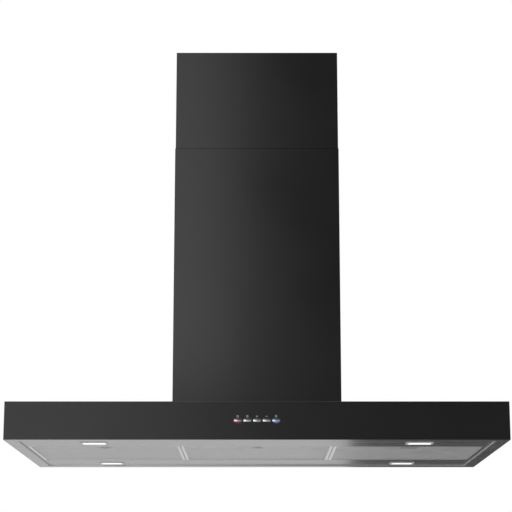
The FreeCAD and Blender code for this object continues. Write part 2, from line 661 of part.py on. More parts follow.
# Grease filters
def filter_cassette(name, side):
    """One filter: a channel frame with a latch housing and rear tabs, and the mesh pack that it holds."""
    across, depth = both(FILTER_HALF), (FILTER_FRONT, FILTER_REAR)
    full_z = ("recess_depth", FILTER_TOP)
    inner_z = ("recess_depth + filter_sheet", plus(FILTER_TOP, "-filter_sheet"))
    pack_x = both(plus(FILTER_HALF, "-filter_sheet"))
    pack_y = (plus(FILTER_FRONT, "filter_sheet"), plus(FILTER_REAR, "-filter_sheet"))
    window_x = both(plus(FILTER_HALF, "-filter_strip"))
    window_y = (plus(FILTER_FRONT, "filter_strip"), plus(FILTER_REAR, "-filter_strip"))
    past_z = ("recess_depth - cut_through", plus(FILTER_TOP, "cut_through"))
    channel = less("channel_" + name, block("channel_outside_" + name, across, depth, full_z),
                   block("channel_inside_" + name, pack_x, pack_y, inner_z),
                   block("channel_window_" + name, window_x, window_y, past_z))

    house_x = both("latch_housing_width / 2")
    house_y = (FILTER_FRONT, plus(FILTER_FRONT, "latch_housing_depth"))
    housing = block("housing_" + name, house_x, house_y, full_z)
    chamber_x = both("latch_housing_width / 2 - latch_wall")
    chamber_y = (plus(FILTER_FRONT, "latch_wall"), plus(house_y[1], "-latch_wall"))
    chamber = block("chamber_" + name, chamber_x, chamber_y, inner_z)
    slot_x = both("latch_nose_width / 2 + latch_play")
    slot_y = (plus(FILTER_FRONT, "-cut_through"), plus(FILTER_FRONT, "latch_wall + cut_through"))
    slot_z = ("recess_depth + filter_sheet", plus(LATCH_LEVEL, "latch_sheet + latch_play"))
    nose_slot = block("nose_slot_" + name, slot_x, slot_y, slot_z)
    window_end = plus(house_y[1], "-latch_wall - latch_window_radius")
    under_z = ("recess_depth - cut_through", inner_z[0])
    finger_box = block("finger_box_" + name, both("latch_window_radius"),
                       (plus(window_end, "-latch_window_straight"), window_end), under_z)
    finger_round = rod("finger_round_" + name, "z", ("0", window_end), "latch_window_radius", under_z)

    tabs = []
    for end, hand in SIDES:
        middle = "(%s) * %d" % (plus(FILTER_HALF, "-tab_inset"), hand)
        tab_x = (plus(middle, "-tab_width / 2"), plus(middle, "tab_width / 2"))
        tab_y = (plus(FILTER_REAR, "-filter_sheet"), plus(APERTURE_REAR, "tab_reach"))
        tab_z = (LATCH_LEVEL, plus(LATCH_LEVEL, "tab_sheet"))
        tabs.append(block("tab_%s_%s" % (name, end), tab_x, tab_y, tab_z))
    solid = fused("frame_solid_" + name, channel, housing, *tabs)
    frame = less("filter_frame_" + name, solid, chamber, nose_slot, finger_box, finger_round)
    shift = ("%s * %d" % (FILTER_PITCH, side), "0", "0")
    node(frame, "filter_frame_" + name, shift)
    filter_mesh(name, pack_x, pack_y, inner_z, (house_x, house_y), shift)
    filter_latch(name, chamber_y, shift)


def filter_mesh(name, across, depth, height, housing, shift):
    """The mesh pack: one holed face, drawn up; its openings stop short of the frame and the latch."""
    low_x, high_x = (worth(text) for text in across)
    low_y, high_y = (worth(text) for text in depth)
    low_z, high_z = (worth(text) for text in height)
    rim, pitch_x, pitch_y = (worth(text) for text in ("mesh_margin", "mesh_pitch_side", "mesh_pitch_deep"))
    half_x, half_y = worth("mesh_opening_side / 2"), worth("mesh_opening_deep / 2")
    latch_x, latch_y = worth(housing[0][1]), worth(housing[1][1])
    outline = [V(low_x, low_y), V(-latch_x, low_y), V(-latch_x, latch_y), V(latch_x, latch_y),
               V(latch_x, low_y), V(high_x, low_y), V(high_x, high_y), V(low_x, high_y)]
    wires = [Part.makePolygon([p + V(0, 0, low_z) for p in outline + outline[:1]])]
    rows = int((high_y - low_y - 2 * (rim + half_y)) / pitch_y) + 1
    middle_y = (low_y + high_y) / 2
    for row in range(rows):
        y = middle_y + (row - (rows - 1) / 2) * pitch_y
        columns = int((high_x - low_x - 2 * (rim + half_x)) / pitch_x) + 1 - row % 2
        for column in range(columns):
            x = (column - (columns - 1) / 2) * pitch_x
            if abs(x) - half_x < latch_x + rim / 2 and y - half_y < latch_y + rim / 2:
                continue
            middle = V(x, y, low_z)
            ends = [middle + V(*step) for step in ((-half_x, 0), (0, -half_y), (half_x, 0), (0, half_y))]
            wires.append(Part.makePolygon(ends + ends[:1]))
    face = Part.Face(Part.Face(wires[0]).cut([Part.Face(wire) for wire in wires[1:]]).Faces[0])
    mesh = doc.addObject("Part::Feature", "filter_mesh_" + name)
    mesh.Shape = face.extrude(V(0, 0, high_z - low_z))
    node(mesh, "filter_mesh_" + name, shift)


def filter_latch(name, chamber_y, shift):
    """A stamped plate with a nose, a finger lip and a lug for its spring."""
    plate_z = (LATCH_LEVEL, plus(LATCH_LEVEL, "latch_sheet"))
    plate_y = (plus(chamber_y[0], "latch_play"), plus(chamber_y[0], "latch_play + latch_plate_depth"))
    plate_x = both("latch_housing_width / 2 - latch_wall - latch_play")
    plate = block("latch_plate_" + name, plate_x, plate_y, plate_z)
    nose_y = (plus(APERTURE_FRONT, "-latch_nose_reach"), plus(plate_y[0], "latch_play"))
    nose = block("latch_nose_" + name, both("latch_nose_width / 2"), nose_y, plate_z)
    edge_y = (plus(plate_y[1], "-latch_sheet"), plate_y[1])
    lip = block("latch_lip_" + name, both("latch_lip_width / 2"), edge_y,
                (plus(LATCH_LEVEL, "-latch_lip_drop"), plate_z[1]))
    lug_top = plus(FILTER_TOP, "-filter_sheet - latch_lug_gap")
    lug = block("latch_lug_" + name, both("latch_lug_width / 2"), edge_y, (LATCH_LEVEL, lug_top))
    node(fused("filter_latch_" + name, plate, nose, lip, lug), "filter_latch_" + name, shift)
    half_rise = "(%s) / 2" % plus(lug_top, minus(plate_z[1]))
    middle_z, radius = plus(plate_z[1], half_rise), plus(half_rise, "-latch_spring_gap")
    spring_y = (plate_y[1], chamber_y[1])
    coil = rod("latch_coil_" + name, "y", ("0", middle_z), radius, spring_y)
    bore_y = (plus(spring_y[0], "-cut_through"), plus(spring_y[1], "cut_through"))
    bore = rod("latch_coil_bore_" + name, "y", ("0", middle_z), plus(radius, "-spring_wire"), bore_y)
    node(less("filter_latch_spring_" + name, coil, bore), "filter_latch_spring_" + name, shift)


# Controls
CARRIER_BACK = plus(SKIN_INNER, "carrier_depth")
FLANGE_FRONT = plus(SKIN_INNER, "button_play")
FLANGE_BACK = plus(FLANGE_FRONT, "flange_sheet")
STEM_END = plus(CARRIER_BACK, "button_travel / 2")
SWITCH_FRONT = plus(STEM_END, "button_travel + switch_gap + switch_plunger")
BOARD_FRONT = plus(SWITCH_FRONT, "switch_height")
FLANGE_LENGTH = "button_length + 2 * flange_side"
FLANGE_HEIGHT = "button_height + 2 * flange_rise"
CARRIER_HALF = "(%s + %s) / 2 + carrier_margin + carrier_wall" % (BUTTON_SPAN, FLANGE_LENGTH)


def buttons():
    """Push buttons in a row; each has a stop flange behind the canopy's front and a stem."""
    for number, middle in button_places():
        name = "button_%d" % number
        body = new_body(name)
        cap = sketch(body, name + "_cap", "y", plus(FRONT, "-button_proud"))
        rounded_rectangle(cap, middle, "button_length", "button_height", "button_corner")
        pad(body, cap, plus(FLANGE_FRONT, minus(FRONT), "button_proud"), backwards=True)
        fillet(body, lambda e: at(e, "y", plus(FRONT, "-button_proud")), "button_edge")
        flange = sketch(body, name + "_flange", "y", FLANGE_FRONT)
        rounded_rectangle(flange, middle, FLANGE_LENGTH, FLANGE_HEIGHT, "button_corner")
        pad(body, flange, "flange_sheet", backwards=True)
        stem = sketch(body, name + "_stem", "y", FLANGE_BACK)
        circle(stem, middle, "stem_radius")
        pad(body, stem, plus(STEM_END, minus(FLANGE_BACK)), backwards=True)
        node(body, name)


def button_carrier():
    """Tray behind the canopy's front: it guides the stems and carries the control board on two posts."""
    half_z = "(%s) / 2 + carrier_margin + carrier_wall" % FLANGE_HEIGHT
    z_span = (plus(BUTTON_LEVEL, minus(half_z)), plus(BUTTON_LEVEL, half_z))
    inside_z = (plus(z_span[0], "carrier_wall"), plus(z_span[1], "-carrier_wall"))
    tray = block("carrier_tray", both(CARRIER_HALF), (SKIN_INNER, CARRIER_BACK), z_span)
    hollow = block("carrier_hollow", both(plus(CARRIER_HALF, "-carrier_wall")),
                   (plus(SKIN_INNER, "-cut_through"), plus(CARRIER_BACK, "-carrier_wall")), inside_z)
    bore_y = (plus(CARRIER_BACK, "-carrier_wall - cut_through"), plus(CARRIER_BACK, "cut_through"))
    bores = [rod("stem_bore_%d" % number, "y", middle, "stem_radius + stem_play", bore_y)
             for number, middle in button_places()]
    thread_y = (plus(BOARD_FRONT, "-small_screw_length - cut_through"), BOARD_FRONT)
    posts = []
    for name, side in SIDES:
        across = facing(side, CARRIER_HALF, plus(CARRIER_HALF, "post_width"))
        posts.append(block("post_" + name, across, (SKIN_INNER, BOARD_FRONT), z_span))
        bores.append(rod("post_bore_" + name, "y", post_middle(side), "small_screw_radius", thread_y))
    node(less("button_carrier", fused("carrier_solid", tray, *posts), hollow, *bores), "button_carrier")


def post_middle(side):
    """Middle of a post that holds the board, where its screw goes."""
    return ("(%s) * %d" % (plus(CARRIER_HALF, "post_width / 2"), side), BUTTON_LEVEL)


def control_board():
    """Circuit board behind the buttons, with a switch for each of them and two screws."""
    half_x = plus(CARRIER_HALF, "post_width")
    z_span = (plus(BUTTON_LEVEL, "-board_height / 2"), plus(BUTTON_LEVEL, "board_height / 2"))
    back = plus(BOARD_FRONT, "board_sheet")
    plate = block("board_plate", both(half_x), (BOARD_FRONT, back), z_span)
    hole_y = (plus(BOARD_FRONT, "-cut_through"), plus(back, "cut_through"))
    shank_y = (plus(BOARD_FRONT, "-small_screw_length"), back)
    head_y = (back, plus(back, "small_screw_head_height"))
    holes, screws = [], []
    for name, side in SIDES:
        middle = post_middle(side)
        holes.append(rod("board_hole_" + name, "y", middle, "small_screw_radius + screw_play", hole_y))
        shank = rod("board_shank_" + name, "y", middle, "small_screw_radius", shank_y)
        head = rod("board_head_" + name, "y", middle, "small_screw_head", head_y)
        screws.append(fused("board_screw_" + name, shank, head))
    node(less("control_board", plate, *holes), "control_board")
    node(group("board_screws", *screws), "board_screws")
    switches, coils = [], []
    side, spring_inside = "switch_side / 2", "button_spring_radius - spring_wire"
    spring_y = (FLANGE_BACK, plus(CARRIER_BACK, "-carrier_wall"))
    for number, (middle_x, _) in button_places():
        case = block("switch_case_%d" % number, (plus(middle_x, minus(side)), plus(middle_x, side)),
                     (SWITCH_FRONT, BOARD_FRONT), (plus(BUTTON_LEVEL, minus(side)), plus(BUTTON_LEVEL, side)))
        plunger = rod("switch_plunger_%d" % number, "y", (middle_x, BUTTON_LEVEL), "switch_plunger_radius",
                      (plus(SWITCH_FRONT, "-switch_plunger"), plus(SWITCH_FRONT, "switch_height / 2")))
        switches.append(fused("switch_%d" % number, case, plunger))
        coil = rod("button_coil_%d" % number, "y", (middle_x, BUTTON_LEVEL), "button_spring_radius", spring_y)
        bore = rod("button_coil_bore_%d" % number, "y", (middle_x, BUTTON_LEVEL), spring_inside,
                   (plus(spring_y[0], "-cut_through"), plus(spring_y[1], "cut_through")))
        coils.append(less("button_spring_%d" % number, coil, bore))
    node(group("tact_switches", *switches), "tact_switches")
    node(group("button_springs", *coils), "button_springs")


# Blower
def blower_box():
    """Steel box over the air opening; it carries the fan housing and the outlet collar."""
    body = new_body("blower_box")
    outline = sketch(body, "box_outline", "z", "canopy_height")
    rectangle(outline, both(BOX_HALF), (BOX_FRONT, BACK_INNER))
    pad(body, outline, "box_height")
    foot = sketch(body, "box_foot_outline", "z", "canopy_height")
    rectangle(foot, both(plus(BOX_HALF, "box_foot")), (plus(BOX_FRONT, "-box_foot"), BACK_INNER))
    pad(body, foot, "box_sheet")
    inside = sketch(body, "box_inside", "z", "canopy_height")
    rectangle(inside, both(plus(BOX_HALF, "-box_sheet")), (plus(BOX_FRONT, "box_sheet"), BACK_INNER))
    pocket(body, inside, "box_height - box_sheet", forwards=True)
    outlet = circle(sketch(body, "box_outlet", "z", BOX_TOP), ("0", COLLAR_Y), COLLAR_INNER)
    pocket(body, outlet, "box_sheet + cut_through")
    screw_holes = sketch(body, "box_screw_holes", "z", BOX_TOP)
    for middle in outlet_screw_places():
        circle(screw_holes, middle, "screw_radius + screw_play")
    pocket(body, screw_holes, "box_sheet + cut_through")
    node(body, "blower_box")


def outlet_screw_places():
    """Four screws that hold the collar, the box and the fan housing together."""
    for _, side in SIDES:
        for end in (1, -1):
            along = plus(COLLAR_Y, "(%s) * %d" % (plus(THROAT_HALF, "throat_flange / 2"), end))
            yield ("(%s) * %d" % (plus(SCROLL_HALF, "throat_flange / 2"), side), along)


def scroll_quarter(name, turn, radius, off_y, off_z, span):
    """A quarter of a cylinder about an axis along X, beginning at a number of quarter turns from +Y."""
    piece = doc.addObject("Part::Cylinder", name)
    upright = FreeCAD.Rotation(V(1, 1, 1), 120)
    piece.Placement = FreeCAD.Placement(V(), FreeCAD.Rotation(V(1, 0, 0), 90 * turn) * upright)
    piece.Angle = 90
    bind(piece, "Radius", radius)
    bind(piece, "Height", plus(span[1], minus(span[0])))
    place(piece, (span[0], plus(FAN_Y, off_y), plus(FAN_Z, off_z)))
    return piece


def scroll_solid(name, span, wall):
    """The scroll: a ring round the fan, three growing quarters about stepped centres, and the outlet."""
    half = "scroll_step / 2"
    first = plus(SCROLL_FIRST, wall)
    parts = [rod(name + "_ring", "x", (FAN_Y, FAN_Z), plus(FAN_RADIUS, "scroll_clearance", wall), span)]
    centres = ((minus(half), minus(half)), (half, minus(half)), (half, half))
    for step, (off_y, off_z) in enumerate(centres):
        radius = plus(first, "scroll_step * %d" % step)
        parts.append(scroll_quarter("%s_quarter_%d" % (name, step), step + 1, radius, off_y, off_z, span))
    parts.append(block(name + "_outlet", span, (plus(THROAT_FRONT, minus(wall)), plus(THROAT_REAR, wall)),
                       (FAN_Z, plus(BOX_TOP, "-box_sheet"))))
    return fused(name, *parts)


def volute_half(name, side):
    """One moulded half of the fan housing, with its air inlet and half of the outlet's flange."""
    outer, inner = SCROLL_HALF, plus(SCROLL_HALF, "-scroll_wall")
    hollow_x = facing(side, "-cut_through", inner)
    shell = scroll_solid("scroll_outside_" + name, facing(side, "0", outer), "scroll_wall")
    hollow = scroll_solid("scroll_inside_" + name, hollow_x, "0")
    flange_y = (plus(THROAT_FRONT, "-throat_flange"), plus(THROAT_REAR, "throat_flange"))
    flange_z = (plus(BOX_TOP, "-box_sheet - scroll_wall"), plus(BOX_TOP, "-box_sheet"))
    flange_x = facing(side, "0", plus(outer, "throat_flange"))
    flange = block("throat_flange_" + name, flange_x, flange_y, flange_z)
    lip_end, past = plus(inner, "-inlet_lip"), plus(outer, "cut_through")
    lip_radius = plus(INLET_RADIUS, "scroll_wall")
    lip = rod("inlet_lip_" + name, "x", (FAN_Y, FAN_Z), lip_radius, facing(side, lip_end, outer))
    inlet_x = facing(side, plus(lip_end, "-cut_through"), past)
    inlet = rod("inlet_" + name, "x", (FAN_Y, FAN_Z), INLET_RADIUS, inlet_x)
    throat_y, throat_z = (THROAT_FRONT, THROAT_REAR), (FAN_Z, plus(BOX_TOP, "cut_through"))
    throat = block("throat_" + name, hollow_x, throat_y, throat_z)
    holes = []
    for number, middle in enumerate(outlet_screw_places()):
        holes.append(rod("throat_hole_%s_%d" % (name, number), "z", middle, "screw_radius + screw_play",
                         (plus(flange_z[0], "-cut_through"), plus(flange_z[1], "cut_through"))))
    shell_and_flange = fused("scroll_body_" + name, shell, flange)
    walls = less("scroll_walls_" + name, shell_and_flange, hollow, throat)
    with_lip = fused("scroll_lipped_" + name, walls, lip)
    node(less("volute_" + name, with_lip, inlet, *holes), "volute_" + name)


def inlet_grille():
    """Finger guard over the left inlet: rings on four spokes."""
    outer_face = minus(SCROLL_HALF)
    span = (plus(outer_face, "-grille_sheet"), outer_face)
    past = (plus(span[0], "-cut_through"), plus(span[1], "cut_through"))
    pieces = []
    rings = int(worth("(%s) / grille_step" % INLET_RADIUS)) + 1
    for number in range(1, rings + 1):
        radius = "grille_step * %d" % number if number < rings else plus(INLET_RADIUS, "bracket_ring")
        width = "grille_bar" if number < rings else "bracket_ring"
        outside = rod("guard_ring_%d" % number, "x", (FAN_Y, FAN_Z), radius, span)
        inside = rod("guard_hole_%d" % number, "x", (FAN_Y, FAN_Z), plus(radius, minus(width)), past)
        pieces.append(less("guard_%d" % number, outside, inside))
    reach = plus(INLET_RADIUS, "bracket_ring / 2")
    half = "grille_bar / 2"
    flat = (plus(FAN_Y, minus(reach)), plus(FAN_Y, reach)), (plus(FAN_Z, minus(half)), plus(FAN_Z, half))
    tall = (plus(FAN_Y, minus(half)), plus(FAN_Y, half)), (plus(FAN_Z, minus(reach)), plus(FAN_Z, reach))
    pieces.append(block("guard_spoke_flat", span, *flat))
    pieces.append(block("guard_spoke_tall", span, *tall))
    node(fused("inlet_grille", *pieces), "inlet_grille")


def fan():
    """Double-inlet fan wheel: a middle disc, blades through it and a ring at each end, on its shaft."""
    body = new_body("fan_wheel")
    centre = (FAN_Y, FAN_Z)
    disc = circle(sketch(body, "fan_disc_outline", "x", "-fan_disc / 2"), centre, FAN_RADIUS)
    circle(disc, centre, "shaft_radius")
    pad(body, disc, "fan_disc")
    for name, level in (("left", minus(FAN_HALF)), ("right", plus(FAN_HALF, "-fan_ring"))):
        ring = circle(sketch(body, "fan_ring_" + name, "x", level), centre, FAN_RADIUS)
        circle(ring, centre, FAN_INNER)
        pad(body, ring, "fan_ring")
    blade = sketch(body, "fan_blade", "x", minus(FAN_HALF))
    near, far = plus(FAN_Y, FAN_INNER), plus(FAN_Y, FAN_RADIUS, "-blade_sheet / 2")
    lean = "blade_depth / 2"
    polygon(blade, ((near, FAN_Z), (plus(near, "blade_sheet"), FAN_Z),
                    (far, plus(FAN_Z, lean)), (plus(far, "-blade_sheet"), plus(FAN_Z, lean))))
    blade_pad = pad(body, blade, "2 * (%s)" % FAN_HALF)
    hub_line = sketch(body, "fan_axis", "z", FAN_Z)
    hub_line.addGeometry(Part.LineSegment(V(0, worth(FAN_Y)), V(worth(FAN_HALF), worth(FAN_Y))), True)
    hub_line.addConstraint(Sketcher.Constraint("Horizontal", 0))
    hold(hub_line, "DistanceX", 0, 1, "0")
    hold(hub_line, "DistanceY", 0, 1, FAN_Y)
    hold(hub_line, "DistanceX", 0, 2, FAN_HALF)
    blades = body.newObject("PartDesign::PolarPattern", "fan_blades")
    blades.Originals = [blade_pad]
    blades.Axis = (hub_line, ["Axis0"])
    blades.Angle = 360
    bind(blades, "Occurrences", "blade_count")
    body.Tip = blades
    doc.recompute()
    node(body, "fan_wheel")
    shaft = rod("fan_shaft", "x", centre, "shaft_radius", ("-shaft_end", plus(MOTOR_END, "-shaft_blind")))
    node(shaft, "fan_shaft")


def motor():
    """Motor inside the right half of the fan, and the bracket that holds it in the inlet."""
    centre = (FAN_Y, FAN_Z)
    body = new_body("motor")
    case = circle(sketch(body, "motor_outline", "x", "motor_gap"), centre, "motor_radius")
    pad(body, case, plus(MOTOR_END, "-motor_gap"))
    fillet(body, lambda e: at(e, "x", "motor_gap") or at(e, "x", MOTOR_END), "motor_edge")
    bore = circle(sketch(body, "motor_bore", "x", "motor_gap"), centre, "shaft_radius + running_gap")
    pocket(body, bore, plus(MOTOR_END, "cut_through - shaft_blind - motor_gap"), forwards=True)
    node(body, "motor")
    inner = SCROLL_HALF
    span = (inner, plus(inner, "scroll_wall"))
    past = (plus(span[0], "-cut_through"), plus(span[1], "cut_through"))
    reach = plus(INLET_RADIUS, "bracket_ring")
    ring = less("bracket_ring_solid", rod("bracket_ring_outside", "x", centre, reach, span),
                rod("bracket_ring_inside", "x", centre, INLET_RADIUS, past))
    half, arm = "bracket_arm / 2", plus(INLET_RADIUS, "bracket_ring / 2")
    flat = block("bracket_arm_flat", span, (plus(FAN_Y, minus(arm)), plus(FAN_Y, arm)),
                 (plus(FAN_Z, minus(half)), plus(FAN_Z, half)))
    tall = block("bracket_arm_tall", span, (plus(FAN_Y, minus(half)), plus(FAN_Y, half)),
                 (plus(FAN_Z, minus(arm)), plus(FAN_Z, arm)))
    hub = rod("bracket_hub_solid", "x", centre, "bracket_hub", (MOTOR_END, span[1]))
    node(fused("motor_bracket", ring, flat, tall, hub), "motor_bracket")


def outlet_collar():
    """Round collar that the duct slides over, with the ledge and pins of the back-draught flaps."""
    body = new_body("outlet_collar")
    flange = sketch(body, "collar_flange_outline", "z", BOX_TOP)
    flange_side = "2 * (%s)" % COLLAR_FLANGE_HALF
    rounded_rectangle(flange, ("0", COLLAR_Y), flange_side, flange_side, "collar_flange")
    pad(body, flange, "collar_flange_sheet")
    tube = circle(sketch(body, "collar_tube", "z", BOX_TOP), ("0", COLLAR_Y), "duct_diameter / 2")
    pad(body, tube, "collar_height")
    ledge_top = plus(FLAP_AXIS_Z, "-flap_sheet / 2")
    throat = sketch(body, "collar_throat", "z", BOX_TOP)
    circle(throat, ("0", COLLAR_Y), plus(COLLAR_INNER, "-collar_ledge"))
    pocket(body, throat, "collar_height", forwards=True)
    bore = circle(sketch(body, "collar_bore", "z", ledge_top), ("0", COLLAR_Y), COLLAR_INNER)
    pocket(body, bore, "collar_height", forwards=True)
    holes = sketch(body, "collar_screw_holes", "z", plus(BOX_TOP, "collar_flange_sheet"))
    for middle in outlet_screw_places():
        circle(holes, middle, "screw_radius + screw_play")
    pocket(body, holes, "collar_flange_sheet + cut_through")
    pins = sketch(body, "collar_pin_holes", "x", "-duct_diameter / 2 - cut_through")
    for hand in (-1, 1):
        circle(pins, (plus(COLLAR_Y, "flap_offset * %d" % hand), FLAP_AXIS_Z), "flap_pin_radius")
    pocket(body, pins, "duct_diameter + 2 * cut_through", forwards=True)
    node(body, "outlet_collar")


def damper_flaps():
    """Two half-round flaps that the air lifts; each has a knuckle round its own pin."""
    pins = []
    for name, hand in (("front", -1), ("rear", 1)):
        line_y = plus(COLLAR_Y, "flap_offset * %d" % hand)
        axis_place = (line_y, FLAP_AXIS_Z)
        reach = plus(COLLAR_INNER, "-flap_play")
        pins.append(rod("damper_pin_" + name, "x", axis_place, "flap_pin_radius",
                        both("(duct_diameter - collar_wall) / 2")))
        z_span = (plus(FLAP_AXIS_Z, "-flap_sheet / 2"), plus(FLAP_AXIS_Z, "flap_sheet / 2"))
        disc = rod("flap_disc_" + name, "z", ("0", COLLAR_Y), reach, z_span)
        past = plus(line_y, "duct_diameter * %d" % -hand)
        span = (past, line_y) if hand > 0 else (line_y, past)
        tall = (plus(z_span[0], "-cut_through"), plus(z_span[1], "cut_through"))
        leaf = less("flap_leaf_" + name, disc, block("flap_side_" + name, both("duct_diameter"), span, tall))
        knuckle_x = both(plus(COLLAR_INNER, "-knuckle_end_gap"))
        knuckle = rod("flap_barrel_" + name, "x", axis_place, "flap_knuckle", knuckle_x)
        solid = fused("flap_solid_" + name, leaf, knuckle)
        bore_radius = "flap_pin_radius + running_gap"
        bore = rod("flap_bore_" + name, "x", axis_place, bore_radius, both("duct_diameter"))
        node(less("damper_flap_" + name, solid, bore), "damper_flap_" + name)
    node(group("damper_pins", *pins), "damper_pins")


# Electrics
def wiring():
    """Wiring box on top of the blower box, its lid, the terminal block and the cable gland."""
    left = plus(minus(BOX_HALF), "wire_box_side_gap")
    x_span, y_span = (left, plus(left, "wire_box_width")), (WIRE_FRONT, WIRE_REAR)
    z_span = (BOX_TOP, plus(BOX_TOP, "wire_box_height"))
    inside = [(plus(low, "wire_box_wall"), plus(high, "-wire_box_wall")) for low, high in (x_span, z_span)]
    gland_place = (plus(left, "gland_inset"), "(%s) / 2" % plus(WIRE_FRONT, WIRE_REAR))
    hollow_y = (plus(WIRE_FRONT, "-cut_through"), plus(WIRE_REAR, "-wire_box_wall"))
    hollow = block("wire_hollow", inside[0], hollow_y, inside[1])
    ceiling = inside[1][1]
    hole = rod("wire_gland_hole", "z", gland_place, "gland_neck", (ceiling, plus(z_span[1], "cut_through")))
    case = block("wire_case", x_span, y_span, z_span)
    node(less("wiring_box", case, hollow, hole), "wiring_box")
    lid = block("wiring_lid_plate", x_span, (plus(y_span[0], "-wire_box_wall"), y_span[0]), z_span)
    node(lid, "wiring_box_lid")
    neck_z = (plus(ceiling, "-gland_thread"), z_span[1])
    neck = rod("gland_neck_solid", "z", gland_place, "gland_neck", neck_z)
    nut = doc.addObject("Part::Prism", "gland_nut")
    nut.Polygon = 6
    bind(nut, "Circumradius", "gland_radius")
    bind(nut, "Height", "gland_height / 2")
    place(nut, (gland_place[0], gland_place[1], z_span[1]))
    dome = doc.addObject("Part::Cone", "gland_dome")
    bind(dome, "Radius1", "gland_shoulder")
    bind(dome, "Radius2", "gland_mouth")
    bind(dome, "Height", "gland_height / 2")
    place(dome, (gland_place[0], gland_place[1], plus(z_span[1], "gland_height / 2")))
    bore_z = (plus(neck_z[0], "-cut_through"), plus(z_span[1], "gland_height + cut_through"))
    bore = rod("gland_bore_cut", "z", gland_place, "gland_bore", bore_z)
    node(less("cable_gland", fused("gland_solid", neck, nut, dome), bore), "cable_gland")
    floor = inside[1][0]
    start = plus(x_span[1], "-wire_box_wall - terminal_gap - terminal_length")
    rear = plus(y_span[1], "-wire_box_wall")
    front = plus(rear, "-terminal_depth")
    top = plus(floor, "terminal_height")
    base = block("terminal_base", (start, plus(start, "terminal_length")), (front, rear), (floor, top))
    wells = []
    for number in range(int(worth("terminal_length / terminal_pitch"))):
        middle_x = plus(start, "terminal_pitch * %.1f" % (number + 0.5))
        wells.append(rod("terminal_well_%d" % number, "z", (middle_x, plus(front, "terminal_depth / 2")),
                         "terminal_well", (plus(floor, "terminal_height / 2"), plus(top, "cut_through"))))
    node(less("terminal_block", base, *wells), "terminal_block")


def capacitor():
    """Motor capacitor, standing on the blower box beside the wiring box."""
    middle = (plus(BOX_HALF, "-capacitor_inset"), "(%s) / 2" % plus(WIRE_FRONT, WIRE_REAR))
    body = new_body("capacitor")
    can = circle(sketch(body, "capacitor_outline", "z", BOX_TOP), middle, "capacitor_radius")
    pad(body, can, "capacitor_height")
    fillet(body, lambda e: at(e, "z", plus(BOX_TOP, "capacitor_height")), "capacitor_edge")
    node(body, "capacitor")


def lamp_driver():
    """Power supply of the lamps, under the canopy's top."""
    body = new_body("lamp_driver")
    outline = sketch(body, "driver_outline", "z", plus(INNER_TOP, "-driver_height"))
    middle = ("hood_width / 2 - driver_inset", "-hood_depth / 2")
    rounded_rectangle(outline, middle, "driver_length", "driver_width", "driver_corner")
    pad(body, outline, "driver_height")
    node(body, "lamp_driver")


# Chimney
def upright_at(x, y):
    """A test for the upright edges at x or -x, and y."""
    def wanted(edge):
        spot = edge.BoundBox.Center
        return runs_along(edge, "z") and abs(abs(spot.x) - x) < CLOSE and abs(spot.y - y) < CLOSE
    return wanted


def cover(name, half, front, rear, low, high):
    """A cover folded into a U, with a lip along each rear edge."""
    body = new_body(name)
    inner, lip = plus(half, "-cover_sheet"), plus(half, "-cover_lip")
    deep, shallow = plus(front, "cover_sheet"), plus(rear, "-cover_sheet")
    polygon(sketch(body, name + "_section", "z", low), (
        (minus(lip), rear), (minus(half), rear), (minus(half), front), (half, front),
        (half, rear), (lip, rear), (lip, shallow), (inner, shallow),
        (inner, deep), (minus(inner), deep), (minus(inner), shallow), (minus(lip), shallow),
    ))
    pad(body, body.Group[-1], plus(high, minus(low)))
    for x, y, radius in ((half, front, "cover_fold_radius"), (inner, deep, "cover_fold_radius - cover_sheet")):
        fillet(body, upright_at(worth(x), worth(y)), radius)
    return body


UPPER_HALF = "chimney_width / 2 - cover_sheet - cover_gap"
UPPER_FRONT = "-(chimney_depth - cover_sheet - cover_gap)"
UPPER_REAR = "-(cover_sheet + cover_gap)"
CLIP_SCREW_Z = "canopy_height + clip_height / 2"
BRACKET_TOP = plus(COVER_TOP, "-bracket_drop")
BRACKET_SCREW = (plus(UPPER_REAR, "-bracket_depth / 2"), plus(BRACKET_TOP, "-bracket_height / 2"))


def side_holes(body, name, half, middle, radius):
    """A hole through both sides of a cover."""
    drawing = circle(sketch(body, name, "x", minus(half)), middle, radius)
    pocket(body, drawing, "2 * (%s)" % half, forwards=True)


def chimney_covers():
    lower_half = "chimney_width / 2"
    lower = cover("lower_chimney", lower_half, "-chimney_depth", "0", "canopy_height", SEAM)
    side_holes(lower, "clip_holes", lower_half, ("-clip_place", CLIP_SCREW_Z), "screw_radius + screw_play")
    node(lower, "lower_chimney")
    upper = cover("upper_chimney", UPPER_HALF, UPPER_FRONT, UPPER_REAR,
                  plus(COVER_TOP, "-upper_cover_height"), COVER_TOP)
    side_holes(upper, "bracket_holes", UPPER_HALF, BRACKET_SCREW, "screw_radius + screw_play")
    louvres = sketch(upper, "louvres", "x", minus(UPPER_HALF))
    half = "(louvre_length - louvre_width) / 2"
    for number in range(DIMENSIONS["louvre_count"]):
        level = plus(COVER_TOP, "-louvre_top - louvre_pitch * %d" % number)
        ends = ((plus("-chimney_depth / 2", minus(half)), level), (plus("-chimney_depth / 2", half), level))
        rounded(louvres, ends, "louvre_width / 2")
    pocket(upper, louvres, "2 * (%s)" % UPPER_HALF, forwards=True)
    node(upper, "upper_chimney")


